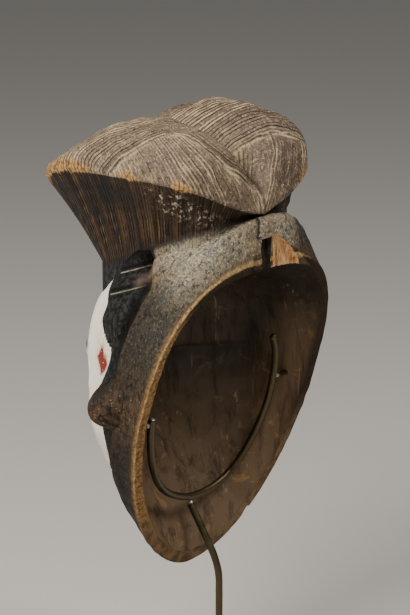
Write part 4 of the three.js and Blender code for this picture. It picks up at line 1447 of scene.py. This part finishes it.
def post_path():
    """The post's middle line: it leans forward under the cradle, bends, and drops to the foot."""
    top = CRADLE_BOTTOM - ROD_RADIUS - SOLDER_GAP
    bend_height, bend_reach = POST_BEND
    lean = (POST_Y - cradle_y(0.0, top)) / (top - bend_height)
    head = np.array([0.0, cradle_y(0.0, top), top])
    start = np.array([0.0, POST_Y - bend_reach * lean, bend_height + bend_reach])
    middle = np.array([0.0, POST_Y, bend_height])
    end = middle - [0.0, 0.0, bend_reach]
    foot = np.array([0.0, POST_Y, POST_FOOT])
    share = np.linspace(0.0, 1.0, 20)[:, None]
    bend = start * (1.0 - share) ** 2 + 2.0 * middle * share * (1.0 - share) + end * share ** 2
    upper = head + (start - head) * np.linspace(0.0, 1.0, 30)[:-1, None]
    lower = end + (foot - end) * np.linspace(0.0, 1.0, 40)[1:, None]
    return np.concatenate([upper, bend, lower])


def peg_path(side):
    """A peg's middle line, from the cradle to the end of its hole."""
    y, start, end = peg_span(side)
    return stack(side * np.linspace(start + ROD_RADIUS + SOLDER_GAP, end, 24), y, PEG_HEIGHT)


def dress_metal():
    """Smooth rods in place of the faceted ones, and blackened steel on the foot."""
    rod_finish = bronzed_metal()
    rods = [
        ("bent_rod", "cradle_rod", cradle_path(), ROD_RADIUS, (-CRADLE_TURN, 1.0, -RIM_LEAN), 0.01),
        ("bent_post", "post", post_path(), ROD_RADIUS, (1.0, 0.0, 0.0), 2.2),
        ("pin_left", "peg_left", peg_path(1.0), PEG_RADIUS, (0.0, 0.0, 1.0), 2.6),
        ("pin_right", "peg_right", peg_path(-1.0), PEG_RADIUS, (0.0, 0.0, 1.0), 2.6),
    ]
    for name, node, path, radius, across, solder in rods:
        piece = build_tube(name, path, radius, np.array(across), solder)
        piece.data.materials.append(rod_finish)
        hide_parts(node)
        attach(piece, "root")
    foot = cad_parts["foot"]
    for slot in foot.material_slots:
        slot.material = dark_steel()


dress_metal()


# Studio

def build_floor():
    """A plain pale floor far wider than the view."""
    mesh = bpy.data.meshes.new("floor")
    mesh.from_pydata([(-6, -6, 0), (6, -6, 0), (6, 6, 0), (-6, 6, 0)], [], [(0, 1, 2, 3)])
    mesh.materials.append(Finish("pale_floor").finish(tone(205, 202, 197), 0.85))
    link_object("floor", mesh)


def add_light(name, place, target, size, power, color=(1.0, 1.0, 1.0)):
    """A square soft light aimed at a point."""
    data = bpy.data.lights.new(name, "AREA")
    data.size = size
    data.energy = power
    data.color = color
    light = link_object(name, data)
    light.location = place
    aim(light, target)


def aim(thing, target):
    """Turns a light or camera to look at a point, upright."""
    direction = Vector(target) - Vector(thing.location)
    thing.rotation_euler = direction.to_track_quat("-Z", "Y").to_euler()


def build_studio():
    """Soft key light high on the left of the view, others above, in front and low, and pale air."""
    build_floor()
    middle = (0.0, -0.01, 0.29)
    add_light("key", (1.15, 0.1, 1.35), middle, 0.6, 24.0, (1.0, 0.95, 0.88))
    add_light("top", (-0.35, 0.75, 1.5), middle, 0.7, 13.0, (1.0, 0.96, 0.9))
    add_light("front", (1.25, -0.95, 0.7), middle, 0.7, 12.0, (1.0, 0.97, 0.92))
    add_light("fill", (0.9, 1.3, 0.35), middle, 1.2, 2.5)
    world = bpy.data.worlds.new("studio")
    world.use_nodes = True
    world.node_tree.nodes["Background"].inputs["Color"].default_value = (0.8, 0.79, 0.77, 1.0)
    world.node_tree.nodes["Background"].inputs["Strength"].default_value = 0.22
    bpy.context.scene.world = world


def build_camera():
    """A long lens, behind the mask and a little above it."""
    azimuth, elevation = math.radians(130.0), math.radians(15.0)
    distance = 1.5
    target = np.array([0.0, -0.0122, 0.2904])
    back = np.array([
        math.sin(azimuth) * math.cos(elevation),
        -math.cos(azimuth) * math.cos(elevation),
        math.sin(elevation),
    ])
    data = bpy.data.cameras.new("camera")
    data.sensor_fit = "VERTICAL"
    data.sensor_height = 36.0
    data.lens = 136.0
    camera = link_object("camera", data)
    camera.location = (target + back * distance).tolist()
    aim(camera, target.tolist())
    bpy.context.scene.camera = camera


build_studio()
build_camera()
